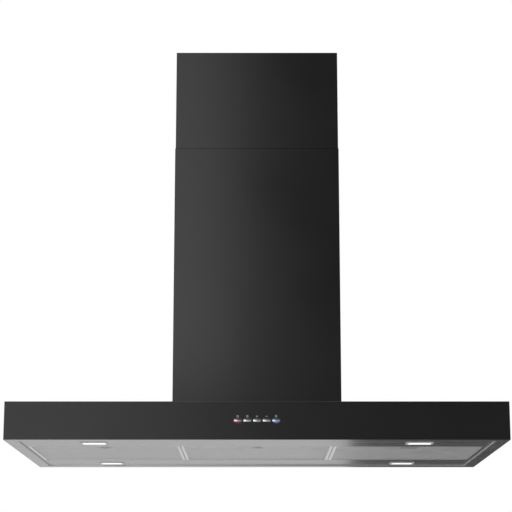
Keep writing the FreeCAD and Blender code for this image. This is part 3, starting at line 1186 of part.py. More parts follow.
def chimney_bracket():
    """Wall bracket of the upper cover: a plate on the wall and a tab inside each of the cover's sides."""
    z_span = (plus(BRACKET_TOP, "-bracket_height"), BRACKET_TOP)
    plate_half = plus("chimney_width / 2", "-cover_lip - bracket_lip_gap")
    plate = block("bracket_plate", both(plate_half), ("-bracket_sheet", "0"), z_span)
    tab_outer = plus(UPPER_HALF, "-cover_sheet - cover_gap")
    tab_rear = plus(UPPER_REAR, "-cover_sheet - bracket_rear_gap")
    tab_front = plus(tab_rear, "-bracket_depth")
    pieces, holes = [plate], []
    for name, side in SIDES:
        start = plus(tab_outer, "-bracket_tab_reach")
        shelf_z = (z_span[0], plus(z_span[0], "bracket_sheet"))
        shelf_x, neck_x = facing(side, start, tab_outer), facing(side, start, plate_half)
        pieces.append(block("bracket_shelf_" + name, shelf_x, (tab_front, tab_rear), shelf_z))
        pieces.append(block("bracket_neck_" + name, neck_x, (tab_front, "0"), shelf_z))
        tab_x = facing(side, plus(tab_outer, "-bracket_sheet"), tab_outer)
        pieces.append(block("bracket_tab_" + name, tab_x, (tab_front, tab_rear), z_span))
        wall_hole = ("bracket_spacing / 2 * %d" % side, BRACKET_SCREW[1])
        holes.append(rod("bracket_wall_hole_" + name, "y", wall_hole, "lock_radius",
                         ("-bracket_sheet - cut_through", "cut_through")))
        holes.append(rod("bracket_tab_hole_" + name, "x", BRACKET_SCREW, "screw_radius",
                         facing(side, plus(tab_outer, "-bracket_sheet - cut_through"),
                                plus(tab_outer, "cut_through"))))
    node(less("chimney_bracket", fused("bracket_solid", *pieces), *holes), "chimney_bracket")


def chimney_clips():
    """Two angles on the canopy's top that the lower cover is screwed to."""
    clips = []
    outer = "chimney_width / 2 - cover_sheet"
    y_span = ("-clip_place - clip_length / 2", "-clip_place + clip_length / 2")
    for name, side in SIDES:
        upright = block("clip_upright_" + name, facing(side, plus(outer, "-canopy_sheet"), outer), y_span,
                        ("canopy_height", "canopy_height + clip_height"))
        foot = block("clip_foot_" + name, facing(side, plus(outer, "-clip_foot"), outer), y_span,
                     ("canopy_height", "canopy_height + canopy_sheet"))
        hole = rod("clip_hole_" + name, "x", ("-clip_place", CLIP_SCREW_Z), "screw_radius",
                   facing(side, plus(outer, "-clip_foot"), plus(outer, "cut_through")))
        clips.append(less("chimney_clip_" + name, fused("clip_solid_" + name, upright, foot), hole))
    node(group("chimney_clips", *clips), "chimney_clips")


# Screws
def screw(name, axis, seat, middle, inward):
    """A pan-head screw with a crossed head; its head lies on a seat and its shank goes inward."""
    tip = plus(seat, "screw_length * %d" % inward)
    crown = plus(seat, "screw_head_height * %d" % -inward)
    floor = plus(seat, "screw_cross_floor * %d" % -inward)

    def span(near, far, turn=inward):
        return (near, far) if turn > 0 else (far, near)

    shank = rod(name + "_shank", axis, middle, "screw_radius", span(seat, tip))
    head = rod(name + "_head", axis, middle, "screw_head", span(crown, seat))
    past = plus(crown, "cut_through * %d" % -inward)
    cuts = []
    for wide, narrow in (("screw_cross / 2", "screw_slot / 2"), ("screw_slot / 2", "screw_cross / 2")):
        sides = iter(((plus(middle[0], minus(wide)), plus(middle[0], wide)),
                      (plus(middle[1], minus(narrow)), plus(middle[1], narrow))))
        spans = [span(past, floor) if letter == axis else next(sides) for letter in "xyz"]
        cuts.append(block("%s_slot_%d" % (name, len(cuts)), *spans))
    return less(name, fused(name + "_solid", shank, head), *cuts)


def screws():
    """The fixing screws: collar, lower cover, and the two that ride with the upper cover."""
    fixed = []
    for number, middle in enumerate(outlet_screw_places()):
        fixed.append(screw("outlet_screw_%d" % number, "z", plus(BOX_TOP, "collar_flange_sheet"), middle, -1))
    for name, side in SIDES:
        seat = "chimney_width / 2 * %d" % side
        fixed.append(screw("clip_screw_" + name, "x", seat, ("-clip_place", CLIP_SCREW_Z), -side))
    node(group("fixing_screws", *fixed), "fixing_screws")
    riding = []
    for name, side in SIDES:
        seat = "(%s) * %d" % (UPPER_HALF, side)
        riding.append(screw("cover_screw_" + name, "x", seat, BRACKET_SCREW, -side))
    node(group("cover_screws", *riding), "cover_screws")


canopy_shell()
rear_panel()
underside_panel()
filter_rails()
lamps()
for filter_name, filter_side in FILTERS:
    filter_cassette(filter_name, filter_side)
buttons()
button_carrier()
control_board()
blower_box()
for half_name, half_side in SIDES:
    volute_half(half_name, half_side)
inlet_grille()
fan()
motor()
outlet_collar()
damper_flaps()
wiring()
capacitor()
lamp_driver()
chimney_covers()
chimney_bracket()
chimney_clips()
screws()
doc.recompute()

faults = ["%s: %s" % (piece.Label, piece.State) for piece in doc.Objects
          if "Invalid" in piece.State or "Error" in piece.State]
faults += ["%s: bad shape" % piece.Label for piece in nodes
           if piece.Shape.isNull() or not piece.Shape.isValid()]
if faults:
    raise ValueError("\n".join(faults))
os.makedirs("parts", exist_ok=True)
for piece in nodes:
    piece.Shape.exportStep("parts/%s.step" % piece.Label)
    print("%-28s %2d solids  %10.1f mm3" % (piece.Label, len(piece.Shape.Solids), piece.Shape.Volume))
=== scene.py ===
import math

import bmesh
import bpy
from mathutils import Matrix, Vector


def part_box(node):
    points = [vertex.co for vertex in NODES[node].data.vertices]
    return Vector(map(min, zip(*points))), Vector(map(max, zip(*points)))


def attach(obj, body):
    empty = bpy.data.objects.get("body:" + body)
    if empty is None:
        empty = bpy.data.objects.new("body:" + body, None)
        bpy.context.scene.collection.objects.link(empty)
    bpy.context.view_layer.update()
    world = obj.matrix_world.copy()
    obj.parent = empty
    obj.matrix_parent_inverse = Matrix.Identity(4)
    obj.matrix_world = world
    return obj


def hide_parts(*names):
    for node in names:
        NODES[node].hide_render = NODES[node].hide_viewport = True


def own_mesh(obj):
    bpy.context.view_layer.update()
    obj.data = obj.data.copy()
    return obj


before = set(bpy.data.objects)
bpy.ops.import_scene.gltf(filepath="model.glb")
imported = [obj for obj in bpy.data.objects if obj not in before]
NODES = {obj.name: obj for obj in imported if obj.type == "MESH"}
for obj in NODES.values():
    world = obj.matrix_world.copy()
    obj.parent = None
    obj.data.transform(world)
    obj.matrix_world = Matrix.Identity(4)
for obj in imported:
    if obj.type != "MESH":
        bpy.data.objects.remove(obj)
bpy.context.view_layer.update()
MM = 0.001
SIDES = ("left", "middle", "right")
OPENING_WIDTH = 850 * MM
FILTER_PITCH = OPENING_WIDTH / len(SIDES)
SIDE_BAR = 14 * MM


def grey(value, warmth=0.0):
    """A linear grey; warmth shifts it towards red, or towards blue when negative."""
    return (value * (1 + warmth), value, value * (1 - warmth), 1.0)


class Tree:
    """The shader nodes of a material or a world."""

    def __init__(self, owner, empty=False):
        owner.use_nodes = True
        self.nodes = owner.node_tree.nodes
        self.links = owner.node_tree.links
        if empty:
            self.nodes.clear()

    def add(self, kind, inputs=None, **settings):
        node = self.nodes.new("ShaderNode" + kind)
        for key, value in settings.items():
            setattr(node, key, value)
        for key, value in (inputs or {}).items():
            self.put(node.inputs[key], value)
        return node

    def put(self, socket, value):
        if isinstance(value, bpy.types.NodeSocket):
            self.links.new(value, socket)
        else:
            socket.default_value = value

    def between(self, amount, low, high, start=0.3, end=0.7):
        """amount from start to end, as a number from low to high."""
        inputs = {"Value": amount, "From Min": start, "From Max": end, "To Min": low, "To Max": high}
        return self.add("MapRange", inputs).outputs[0]


class Finish(Tree):
    """A procedural material. Its patterns are in metres, as the coordinates of every node are."""

    def __init__(self, name, **sockets):
        self.material = bpy.data.materials.new(name)
        super().__init__(self.material)
        self.shader = self.nodes["Principled BSDF"]
        self.place = self.add("TexCoord").outputs["Object"]
        for label, value in sockets.items():
            self.shader.inputs[label.replace("_", " ")].default_value = value

    def scaled(self, size, stretch=(1, 1, 1), shift=0.0):
        """Coordinates in units of size metres, drawn out along each axis by stretch."""
        scale = [1 / (size * s) for s in stretch]
        inputs = {"Vector": self.place, "Scale": scale, "Location": (shift, shift, shift)}
        return self.add("Mapping", inputs).outputs[0]

    def noise(self, size, stretch=(1, 1, 1), detail=3.0, shift=0.0):
        vector = self.scaled(size, stretch, shift)
        return self.add("TexNoise", {"Vector": vector, "Scale": 1.0, "Detail": detail}).outputs["Fac"]

    def cells(self, size, feature="F1", output="Distance", stretch=(1, 1, 1)):
        vector = self.scaled(size, stretch)
        return self.add("TexVoronoi", {"Vector": vector, "Scale": 1.0}, feature=feature).outputs[output]

    def sum(self, first, second, operation="ADD"):
        return self.add("Math", {0: first, 1: second}, operation=operation).outputs[0]

    def blend(self, first, second, share=0.5):
        """share of the second pattern over the first."""
        return self.sum(self.sum(first, 1 - share, "MULTIPLY"), self.sum(second, share, "MULTIPLY"))

    def colours(self, amount, *stops):
        """A colour ramp through (position, colour) stops."""
        node = self.add("ValToRGB", {"Fac": amount})
        elements = node.color_ramp.elements
        elements[0].position, elements[0].color = stops[0]
        elements[1].position, elements[1].color = stops[-1]
        for position, colour in stops[1:-1]:
            elements.new(position).color = colour
        return node.outputs["Color"]

    def bump(self, height, distance, under=None):
        inputs = {"Height": height, "Distance": distance, "Strength": 1.0}
        if under:
            inputs["Normal"] = under
        return self.add("Bump", inputs).outputs[0]

    def end(self, colour, roughness, normal=None):
        self.put(self.shader.inputs["Base Color"], colour)
        self.put(self.shader.inputs["Roughness"], roughness)
        if normal:
            self.put(self.shader.inputs["Normal"], normal)
        return self.material


def grained(name, dark, light, rough, size, relief, stretch=(1, 1, 1), blotch=0.08, **sockets):
    """A finish with a fine grain over broad patches, in colour, roughness and bump."""
    made = Finish(name, **sockets)
    grain = made.noise(size, stretch)
    patches = made.noise(blotch, detail=2.0, shift=3.0)
    mixed = made.blend(grain, patches)
    colour = made.colours(mixed, (0.3, dark), (0.7, light))
    return made.end(colour, made.between(mixed, *rough), made.bump(grain, relief))


def powder_coat():
    made = Finish("black_paint")
    peel = made.noise(1.1 * MM, detail=1.0)
    grain = made.noise(0.3 * MM, detail=2.0)
    patches = made.noise(0.2, detail=2.0)
    colour = made.colours(made.blend(grain, patches, 0.4), (0.3, grey(0.005)), (0.7, grey(0.007)))
    relief = made.bump(grain, 0.012 * MM, made.bump(peel, 0.02 * MM))
    return made.end(colour, made.between(patches, 0.30, 0.35), relief)


def brushed(name, dark, light, rough, relief=0.004 * MM, length=200, **sockets):
    """Metal brushed along the width of the hood."""
    made = Finish(name, Metallic=1.0, **sockets)
    hairs = made.noise(0.35 * MM, (length, 1, 1), detail=4.0)
    streaks = made.noise(3 * MM, (100, 1, 1), detail=2.0, shift=5.0)
    patches = made.noise(0.15, (4, 1, 1), detail=2.0)
    mixed = made.blend(made.blend(hairs, streaks, 0.4), patches, 0.2)
    colour = made.colours(mixed, (0.35, dark), (0.65, light))
    return made.end(colour, made.between(mixed, *rough, 0.35, 0.65), made.bump(hairs, relief))


def filter_frame_finish():
    """Aluminium bars, each rolled along its length; the side bars are brighter."""
    made = Finish("filter_aluminium", Metallic=1.0)
    x = made.add("SeparateXYZ", {0: made.place}).outputs[0]
    wrapped = made.add("Math", {0: x, 1: FILTER_PITCH / 2, 2: -FILTER_PITCH / 2}, operation="WRAP").outputs[0]
    off_middle = made.add("Math", {0: wrapped}, operation="ABSOLUTE").outputs[0]
    bar_edge = FILTER_PITCH / 2 - SIDE_BAR
    side = made.between(off_middle, 0, 1, bar_edge, bar_edge + 1 * MM)
    along_x = made.noise(0.4 * MM, (30, 1, 1), detail=4.0)
    along_y = made.noise(0.4 * MM, (1, 30, 1), detail=4.0)
    grain = made.add("Mix", {0: side, 2: along_x, 3: along_y}).outputs[0]
    patches = made.noise(0.1, detail=2.0)
    mixed = made.blend(grain, patches, 0.3)
    colour = made.colours(mixed, (0.35, grey(0.72)), (0.65, grey(0.84)))
    rough = made.add("Mix", {0: side, 2: made.between(mixed, 0.26, 0.36), 3: made.between(mixed, 0.14, 0.2)})
    return made.end(colour, rough.outputs[0], made.bump(grain, 0.006 * MM))


def galvanised():
    made = Finish("galvanised_steel", Metallic=1.0)
    flakes = made.cells(6 * MM, output="Color", stretch=(1, 1, 1.4))
    tone = made.add("SeparateColor", {0: flakes}).outputs[0]
    edges = made.cells(6 * MM, feature="DISTANCE_TO_EDGE", stretch=(1, 1, 1.4))
    grain = made.noise(0.8 * MM)
    mixed = made.blend(tone, grain, 0.3)
    colour = made.colours(mixed, (0.15, grey(0.52, -0.02)), (0.85, grey(0.66, -0.02)))
    relief = made.bump(grain, 0.01 * MM, made.bump(made.between(edges, 0, 1, 0, 0.04), 0.006 * MM))
    return made.end(colour, made.between(mixed, 0.34, 0.46, 0.2, 0.8), relief)


def moulded(name, dark, light, rough=(0.45, 0.6), size=0.35 * MM, relief=0.015 * MM, **sockets):
    return grained(name, dark, light, rough, size, relief, blotch=0.03, **sockets)


def circuit_board():
    """Green lacquer over copper tracks, with bare pads."""
    made = Finish("board_green")
    tracks = made.cells(3.2 * MM, feature="DISTANCE_TO_EDGE", stretch=(2.2, 1, 1))
    pads = made.cells(2.6 * MM)
    grain = made.noise(0.5 * MM)
    green = made.colours(tracks, (0.05, (0.05, 0.26, 0.09, 1)), (0.09, (0.012, 0.10, 0.035, 1)))
    tin = made.between(pads, 1, 0, 0.10, 0.14)
    mix = made.add("MixRGB", {"Fac": tin, "Color1": green, "Color2": grey(0.5)})
    made.put(made.shader.inputs["Metallic"], made.sum(tin, 0.8, "MULTIPLY"))
    height = made.between(tracks, 1, 0, 0.05, 0.09)
    return made.end(mix.outputs[0], made.between(grain, 0.22, 0.34), made.bump(height, 0.03 * MM))


def lit_lens():
    """Frosted plastic lit from inside, with small prisms that break up the light."""
    made = Finish("lamp_lens_lit", Transmission_Weight=0.0)
    prisms = made.cells(1.6 * MM)
    frost = made.noise(0.25 * MM)
    glow = made.noise(14 * MM, detail=1.0)
    tone = made.colours(made.blend(prisms, glow), (0.2, (1.0, 0.985, 0.95, 1)), (0.8, (0.86, 0.85, 0.82, 1)))
    made.put(made.shader.inputs["Emission Color"], tone)
    made.shader.inputs["Emission Strength"].default_value = 0.9
    base = made.colours(frost, (0.3, grey(0.72)), (0.7, grey(0.85)))
    return made.end(base, made.between(frost, 0.3, 0.5), made.bump(prisms, 0.12 * MM))


def painted_glow_finish(name, middle, reach, core, painted_halo):
    """Painted glow round a button: an emitting core that fades through a painted halo into the paint round
    it, standing in for its lamp's light on the paint.
    """
    made = Finish(name)
    inputs = {"Vector": made.place, "Location": middle, "Scale": reach}
    place = made.add("Mapping", inputs, vector_type="TEXTURE").outputs[0]
    flat = made.add("VectorMath", {0: place, 1: (1, 0, 1)}, operation="MULTIPLY").outputs[0]
    away = made.add("VectorMath", {0: flat}, operation="LENGTH").outputs["Value"]
    grain = made.noise(0.6 * MM)
    uneven = made.sum(away, made.between(grain, -0.03, 0.03))
    tone = made.colours(uneven, (0.35, core), (0.62, painted_halo), (0.98, grey(0)))
    made.put(made.shader.inputs["Emission Color"], tone)
    made.shader.inputs["Emission Strength"].default_value = 1.0
    base = made.colours(grain, (0.3, grey(0.005)), (0.7, grey(0.007)))
    return made.end(base, made.between(grain, 0.30, 0.35), made.bump(grain, 0.01 * MM))


def chrome(name, dark, light):
    return grained(name, dark, light, (0.16, 0.24), 0.4 * MM, 0.004 * MM, Metallic=1.0)


MATERIALS = {
    "black_paint": powder_coat(),
    "galvanised_steel": galvanised(),
    "stainless_steel": brushed("stainless_steel", grey(0.50), grey(0.60), (0.22, 0.30)),
    "filter_aluminium": filter_frame_finish(),
    "mesh_aluminium": grained("mesh_aluminium", grey(0.90), grey(0.98), (0.28, 0.42), 0.5 * MM, 0.01 * MM,
                              Metallic=0.45),
    "latch_steel": brushed("latch_steel", grey(0.55), grey(0.68), (0.3, 0.42), length=10),
    "spring_steel": grained("spring_steel", grey(0.42), grey(0.6), (0.2, 0.35), 0.3 * MM, 0.005 * MM,
                            Metallic=1.0),
    "screw_steel": grained("screw_steel", grey(0.48, 0.02), grey(0.66, 0.02), (0.22, 0.36), 0.4 * MM,
                           0.01 * MM, Metallic=1.0),
    "button_chrome": chrome("button_chrome", grey(0.6), grey(0.74)),
    "motor_metal": grained("motor_metal", grey(0.10), grey(0.17), (0.38, 0.5), 0.8 * MM, 0.03 * MM,
                           Metallic=0.3),
    "lamp_rim_white": moulded("lamp_rim_white", grey(0.68, 0.01), grey(0.78, 0.01), (0.3, 0.42)),
    "black_plastic": moulded("black_plastic", grey(0.012), grey(0.022)),
    "fan_plastic": moulded("fan_plastic", grey(0.022, -0.05), grey(0.036, -0.05)),
    "capacitor_case": moulded("capacitor_case", grey(0.55, 0.02), grey(0.66, 0.02), (0.35, 0.5)),
    "board_green": circuit_board(),
    "lamp_lens_lit": lit_lens(),
}
# The caps' chrome tinted red and blue for the first and last buttons: the painted colour cast of their lamps'
# glow on the caps.
RED_GLOW_TINTED_CHROME = chrome("red_glow_tinted_chrome", (0.62, 0.44, 0.46, 1), (0.78, 0.58, 0.60, 1))
BLUE_GLOW_TINTED_CHROME = chrome("blue_glow_tinted_chrome", (0.48, 0.56, 0.74, 1), (0.60, 0.68, 0.88, 1))
# Near-black matt finish of the strip that paints the shadow line at the seam between the covers.
SEAM_SHADOW_FINISH = grained("seam_shadow_finish", grey(0.002), grey(0.005), (0.85, 0.95), 0.2 * MM, 0.05 * MM,
               Specular_IOR_Level=0.1)
INK = moulded("icon_ink", grey(0.55), grey(0.68))

for cad_node in NODES.values():
    for material_slot in cad_node.material_slots:
        material_slot.material = MATERIALS[material_slot.material.name]


SHARPEST_SMOOTH = 35


def piece(name, vertices, faces, material, body, smooth=False):
    """One mesh piece of the object, riding on a body."""
    mesh = bpy.data.meshes.new(name)
    mesh.from_pydata([tuple(v) for v in vertices], [], faces)
    mesh.validate()
    work = bmesh.new()
    work.from_mesh(mesh)
    bmesh.ops.recalc_face_normals(work, faces=work.faces)
    work.to_mesh(mesh)
    work.free()
    mesh.materials.append(material)
    for face in mesh.polygons:
        face.use_smooth = smooth
    if smooth:
        mesh.set_sharp_from_angle(angle=math.radians(SHARPEST_SMOOTH))
    made = bpy.data.objects.new(name, mesh)
    bpy.context.scene.collection.objects.link(made)
    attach(made, body)
    return made


class Parts:
    """Vertices and faces gathered into one mesh."""

    def __init__(self):
        self.vertices = []
        self.faces = []

    def ribbon(self, sections, closed=False):
        """Faces round a run of equal cross-sections, capped at its ends."""
        first = len(self.vertices)
        count = len(sections[0])
        for section in sections:
            self.vertices += section
        last = len(sections) - 1
        for s in range(len(sections) if closed else last):
            here = first + s * count
            there = first + ((s + 1) % len(sections)) * count
            for i in range(count):
                j = (i + 1) % count
                self.faces.append((here + i, here + j, there + j, there + i))
        if not closed:
            self.faces.append(tuple(range(first, first + count)))
            self.faces.append(tuple(range(first + last * count, first + (last + 1) * count)))

    def plate(self, outline, front, back):
        """A flat plate of an outline in X and Z, between two values of Y."""
        sections = [[Vector((x, y, z)) for x, z in outline] for y in (front, back)]
        self.ribbon(sections)


# The filter's expanded sheets: the strand, the pitch and rise of its diamonds, and how deep each sheet lies.
STRAND_WIDTH = 1.6 * MM
STRAND_GAUGE = 0.12 * MM
BOND_SHARE = 0.12
BOND_OVERLAP = 0.6
OUTER_DIAMOND = (8 * MM, 2.5 * MM)
INNER_DIAMOND = (7 * MM, 2.2 * MM)
OUTER_DEPTH = 0.2 * MM
INNER_DEPTH = 0.7 * MM
# The pleated core between them.
CORE_ABOVE_LOWER = 1.0 * MM
CORE_BELOW_UPPER = 0.6 * MM
PLEAT = 2.4 * MM
CORE_GAUGE = 0.3 * MM


def expanded_sheet(parts, low, high, z, pitch, rise):
    """Expanded metal: rows of slit strip pulled into diamonds, each strand rolled to a flat ridge."""
    rows = int((high.y - low.y) / rise)
    columns = int((high.x - low.x) / pitch)
    start_x = (low.x + high.x - columns * pitch) / 2
    start_y = (low.y + high.y - rows * rise) / 2
    bond = pitch * BOND_SHARE
    half = STRAND_WIDTH / 2
    for row in range(rows):
        middle = start_y + (row + 0.5) * rise
        sections = []
        for step in range(2 * columns + 1):
            x = start_x + step * pitch / 2
            way = 1 if (step + row) % 2 else -1
            y = middle + way * rise / 2 - way * half * BOND_OVERLAP
            for dx in (-bond, bond):
                place = min(max(x + dx, low.x), high.x)
                sections.append([
                    Vector((place, y - half, z)),
                    Vector((place, y, z - STRAND_GAUGE / 2)),
                    Vector((place, y + half, z)),
                    Vector((place, y, z + STRAND_GAUGE / 2)),
                ])
        parts.ribbon(sections)


def pleated_core(parts, low, high):
    """A sheet pleated from front to rear, which fills the pack between the expanded sheets."""
    bottom = low.z + CORE_ABOVE_LOWER
    top = high.z - CORE_BELOW_UPPER
    count = 2 * int((high.y - low.y) / (2 * PLEAT))
    step = (high.y - low.y) / count
    sections = []
    for fold in range(count + 1):
        y = low.y + fold * step
        z = top - CORE_GAUGE if fold % 2 else bottom
        sections.append([Vector((x, y, level)) for x, level in
                         ((low.x, z), (high.x, z), (high.x, z + CORE_GAUGE), (low.x, z + CORE_GAUGE))])
    parts.ribbon(sections)


def filter_mesh(side):
    """The mesh of one filter: two expanded sheets below a pleated core and one above it."""
    node = "filter_mesh_" + side
    low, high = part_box(node)
    parts = Parts()
    expanded_sheet(parts, low, high, low.z + OUTER_DEPTH, *OUTER_DIAMOND)
    expanded_sheet(parts, low, high, low.z + INNER_DEPTH, *INNER_DIAMOND)
    expanded_sheet(parts, low, high, high.z - OUTER_DEPTH, *OUTER_DIAMOND)
    pleated_core(parts, low, high)
    made = piece("fine_mesh_" + side, parts.vertices, parts.faces, MATERIALS["mesh_aluminium"],
                 "filter_" + side)
    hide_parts(node)


for filter_side in SIDES:
    filter_mesh(filter_side)


def rounded_outline(half_x, half_z, radius, turns=5):
    """Points round a rounded rectangle, centred on its middle."""
    points = []
    for corner in range(4):
        side_x = 1 if corner in (0, 3) else -1
        side_z = 1 if corner in (0, 1) else -1
        for step in range(turns + 1):
            angle = math.pi / 2 * (corner + step / turns)
            points.append((side_x * (half_x - radius) + radius * math.cos(angle),
                           side_z * (half_z - radius) + radius * math.sin(angle)))
    return points


BUTTON_COUNT = 5
BUTTON_PITCH = 17.1 * MM
BUTTON_HALF = (7 * MM, 2.3 * MM)
BUTTON_CORNER = 1.7 * MM
BUTTON_LEVEL = 34.25 * MM
BUTTON_EDGE = 0.5 * MM
EDGE_STEPS = 5
FACE_INSETS = (0.9 * MM, 1.3 * MM, 1.7 * MM, 2.1 * MM)
CROWN_ACROSS = 0.9 * MM
CROWN_UPWARD = 0.18 * MM
TIGHTEST_CORNER = 0.2 * MM
STOP_MARGIN = (0.9 * MM, 1.5 * MM)
STEM_RADIUS = 1.5 * MM
CANOPY_FRONT = -500 * MM
FACE = -502.6 * MM
FLANGE = (-498.7 * MM, -497.5 * MM)


def button(number, finish):
    """A crowned chrome cap with its stop flange and stem; gives the middle of the button in X."""
    middle = (number - (BUTTON_COUNT + 1) / 2) * BUTTON_PITCH
    parts = Parts()

    def ring(y, inset, crown=0.0):
        radius = max(BUTTON_CORNER - inset, TIGHTEST_CORNER)
        outline = rounded_outline(BUTTON_HALF[0] - inset, BUTTON_HALF[1] - inset, radius)
        section = []
        for x, z in outline:
            fall = (x / BUTTON_HALF[0]) ** 2 * CROWN_ACROSS + (z / BUTTON_HALF[1]) ** 2 * CROWN_UPWARD
            section.append(Vector((middle + x, y + crown * fall, BUTTON_LEVEL + z)))
        return section

    sections = [ring(FLANGE[0], 0.0)]
    for step in range(EDGE_STEPS + 1):
        angle = math.pi / 2 * step / EDGE_STEPS
        inset = BUTTON_EDGE * (1 - math.cos(angle))
        sections.append(ring(FACE + BUTTON_EDGE * (1 - math.sin(angle)), inset, 1.0))
    sections += [ring(FACE, inset, 1.0) for inset in FACE_INSETS]
    parts.ribbon(sections)
    stop = rounded_outline(BUTTON_HALF[0] + STOP_MARGIN[0], BUTTON_HALF[1] + STOP_MARGIN[1], BUTTON_CORNER)
    parts.plate([(middle + x, BUTTON_LEVEL + z) for x, z in stop], *FLANGE)
    stem = rounded_outline(STEM_RADIUS, STEM_RADIUS, STEM_RADIUS)
    stem_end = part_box("button_%d" % number)[1].y
    parts.plate([(middle + x, BUTTON_LEVEL + z) for x, z in stem], FLANGE[1], stem_end)
    made = piece("cap_%d" % number, parts.vertices, parts.faces, finish,
                 "button_body_%d" % number, smooth=True)
    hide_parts("button_%d" % number)
    return middle


WIRE_RADIUS = 0.2 * MM
WIRE_SIDES = 8
COIL_STEPS = 20
LATCH_TRAVEL = 7 * MM
BUTTON_TRAVEL = 2 * MM


def coil_spring(name, low, high, body, travel):
    """A helical spring along Y between two corners, with closed end turns and its coils spaced to leave room
    for travel.
    """
    wire = WIRE_RADIUS
    radius = (high.x - low.x) / 2 - wire
    middle = (low + high) / 2
    length = high.y - low.y
    turns = max(5, int((length - travel) / (3 * wire)))
    free = (length - 6 * wire) / (turns - 2)
    parts = Parts()
    sections = []
    for step in range(turns * COIL_STEPS + 1):
        turn = step / COIL_STEPS
        dead = min(turn, 1) + max(turn - turns + 1, 0)
        y = low.y + wire + dead * 2 * wire + (turn - dead) * free
        angle = 2 * math.pi * turn
        across = (math.cos(angle), math.sin(angle))
        sections.append([
            Vector((middle.x + across[0] * (radius + wire * math.cos(a)), y + wire * math.sin(a),
                    middle.z + across[1] * (radius + wire * math.cos(a))))
            for a in (2 * math.pi * i / WIRE_SIDES for i in range(WIRE_SIDES))
        ])
    parts.ribbon(sections)
    made = piece(name, parts.vertices, parts.faces, MATERIALS["spring_steel"], body,
                 smooth=True)
    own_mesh(made)
    return made


def springs(middles):
    """Springs behind the latches and behind the buttons, whose middles in X are given."""
    for side in SIDES:
        node = "filter_latch_spring_" + side
        low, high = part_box(node)
        made = coil_spring("latch_coil_" + side, low, high, "filter_" + side,
                           LATCH_TRAVEL)
        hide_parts(node)
    low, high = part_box("button_springs")
    radius = (high.z - low.z) / 2
    for number, middle in enumerate(middles, 1):
        front = Vector((middle - radius, low.y, low.z))
        rear = Vector((middle + radius, high.y, high.z))
        made = coil_spring("button_coil_%d" % number, front, rear, "hood",
                           BUTTON_TRAVEL)
        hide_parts("button_springs")


# Size and place of the dark strip that paints the seam's shadow line between the covers.
SHADOW_STRIP_BELOW_EDGE = 8 * MM
SHADOW_STRIP_ABOVE_EDGE = 0.9 * MM
SHADOW_STRIP_THICK = 0.28 * MM
SHADOW_STRIP_CLEAR = 0.01 * MM
SHADOW_STRIP_REAR = -12 * MM
COVER_BEND = 1.2 * MM
BEND_STEPS = 6


def seam_shadow_strip():
    """A dark matt strip between the covers, round the front and sides, that shows above the lower one's edge
    as the painted shadow of the seam.
    """
    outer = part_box("lower_chimney")
    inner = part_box("upper_chimney")
    low = outer[1].z - SHADOW_STRIP_BELOW_EDGE
    high = outer[1].z + SHADOW_STRIP_ABOVE_EDGE
    parts = Parts()
    half = inner[1].x
    bend_y = inner[0].y + COVER_BEND
    path = [(-half, SHADOW_STRIP_REAR)]
    for middle, start in ((-half + COVER_BEND, 180), (half - COVER_BEND, 270)):
        for step in range(BEND_STEPS + 1):
            angle = math.radians(start + 90 * step / BEND_STEPS)
            path.append((middle + COVER_BEND * math.cos(angle), bend_y + COVER_BEND * math.sin(angle)))
    path.append((half, SHADOW_STRIP_REAR))
    sections = []
    for i, (x, y) in enumerate(path):
        before = path[max(i - 1, 0)]
        after = path[min(i + 1, len(path) - 1)]
        run = Vector((after[0] - before[0], after[1] - before[1])).normalized()
        out = Vector((run.y, -run.x))
        near = (x + out.x * SHADOW_STRIP_CLEAR, y + out.y * SHADOW_STRIP_CLEAR)
        far = (x + out.x * SHADOW_STRIP_THICK, y + out.y * SHADOW_STRIP_THICK)
        sections.append([
            Vector((*near, low)),
            Vector((*far, low)),
            Vector((*far, high)),
            Vector((*near, high)),
        ])
    parts.ribbon(sections)
    piece("seam_shadow_strip", parts.vertices, parts.faces, SEAM_SHADOW_FINISH, "hood")


seam_shadow_strip()


INK_DEPTH = 0.05 * MM
ICON_LEVEL = BUTTON_LEVEL + 7.3 * MM
ICON_LINE = 0.6 * MM
ICON_REACH = 1.7 * MM
BULB_RADIUS = 1.6 * MM
SOCKET_HALF = 0.9 * MM
# The plates that carry the painted glow round the first and last buttons.
GLOW_LEVEL = BUTTON_LEVEL - 1.2 * MM
GLOW_REACH = (10.0 * MM, 6.5 * MM)
GLOW_SIDES = 48
GLOW_PROUD = 0.03 * MM


def stroke(parts, points, width, closed=False):
    """A printed line through points in X and Z, on the canopy's front."""
    front = CANOPY_FRONT - INK_DEPTH
    rear = CANOPY_FRONT + INK_DEPTH
    sections = []
    count = len(points)
    for i, (x, z) in enumerate(points):
        before = points[i - 1] if closed or i else points[i]
        after = points[(i + 1) % count] if closed or i < count - 1 else points[i]
        run_x, run_z = after[0] - before[0], after[1] - before[1]
        length = math.hypot(run_x, run_z)
        side_x, side_z = -run_z / length * width / 2, run_x / length * width / 2
        sections.append([
            Vector((x - side_x, front, z - side_z)),
            Vector((x + side_x, front, z + side_z)),
            Vector((x + side_x, rear, z + side_z)),
            Vector((x - side_x, rear, z - side_z)),
        ])
    parts.ribbon(sections, closed)


def arc(middle, level, radius, start, end, count=24):
    """Points on an arc, in degrees from the X axis."""
    angles = [math.radians(start + (end - start) * i / count) for i in range(count + 1)]
    return [(middle + radius * math.cos(a), level + radius * math.sin(a)) for a in angles]


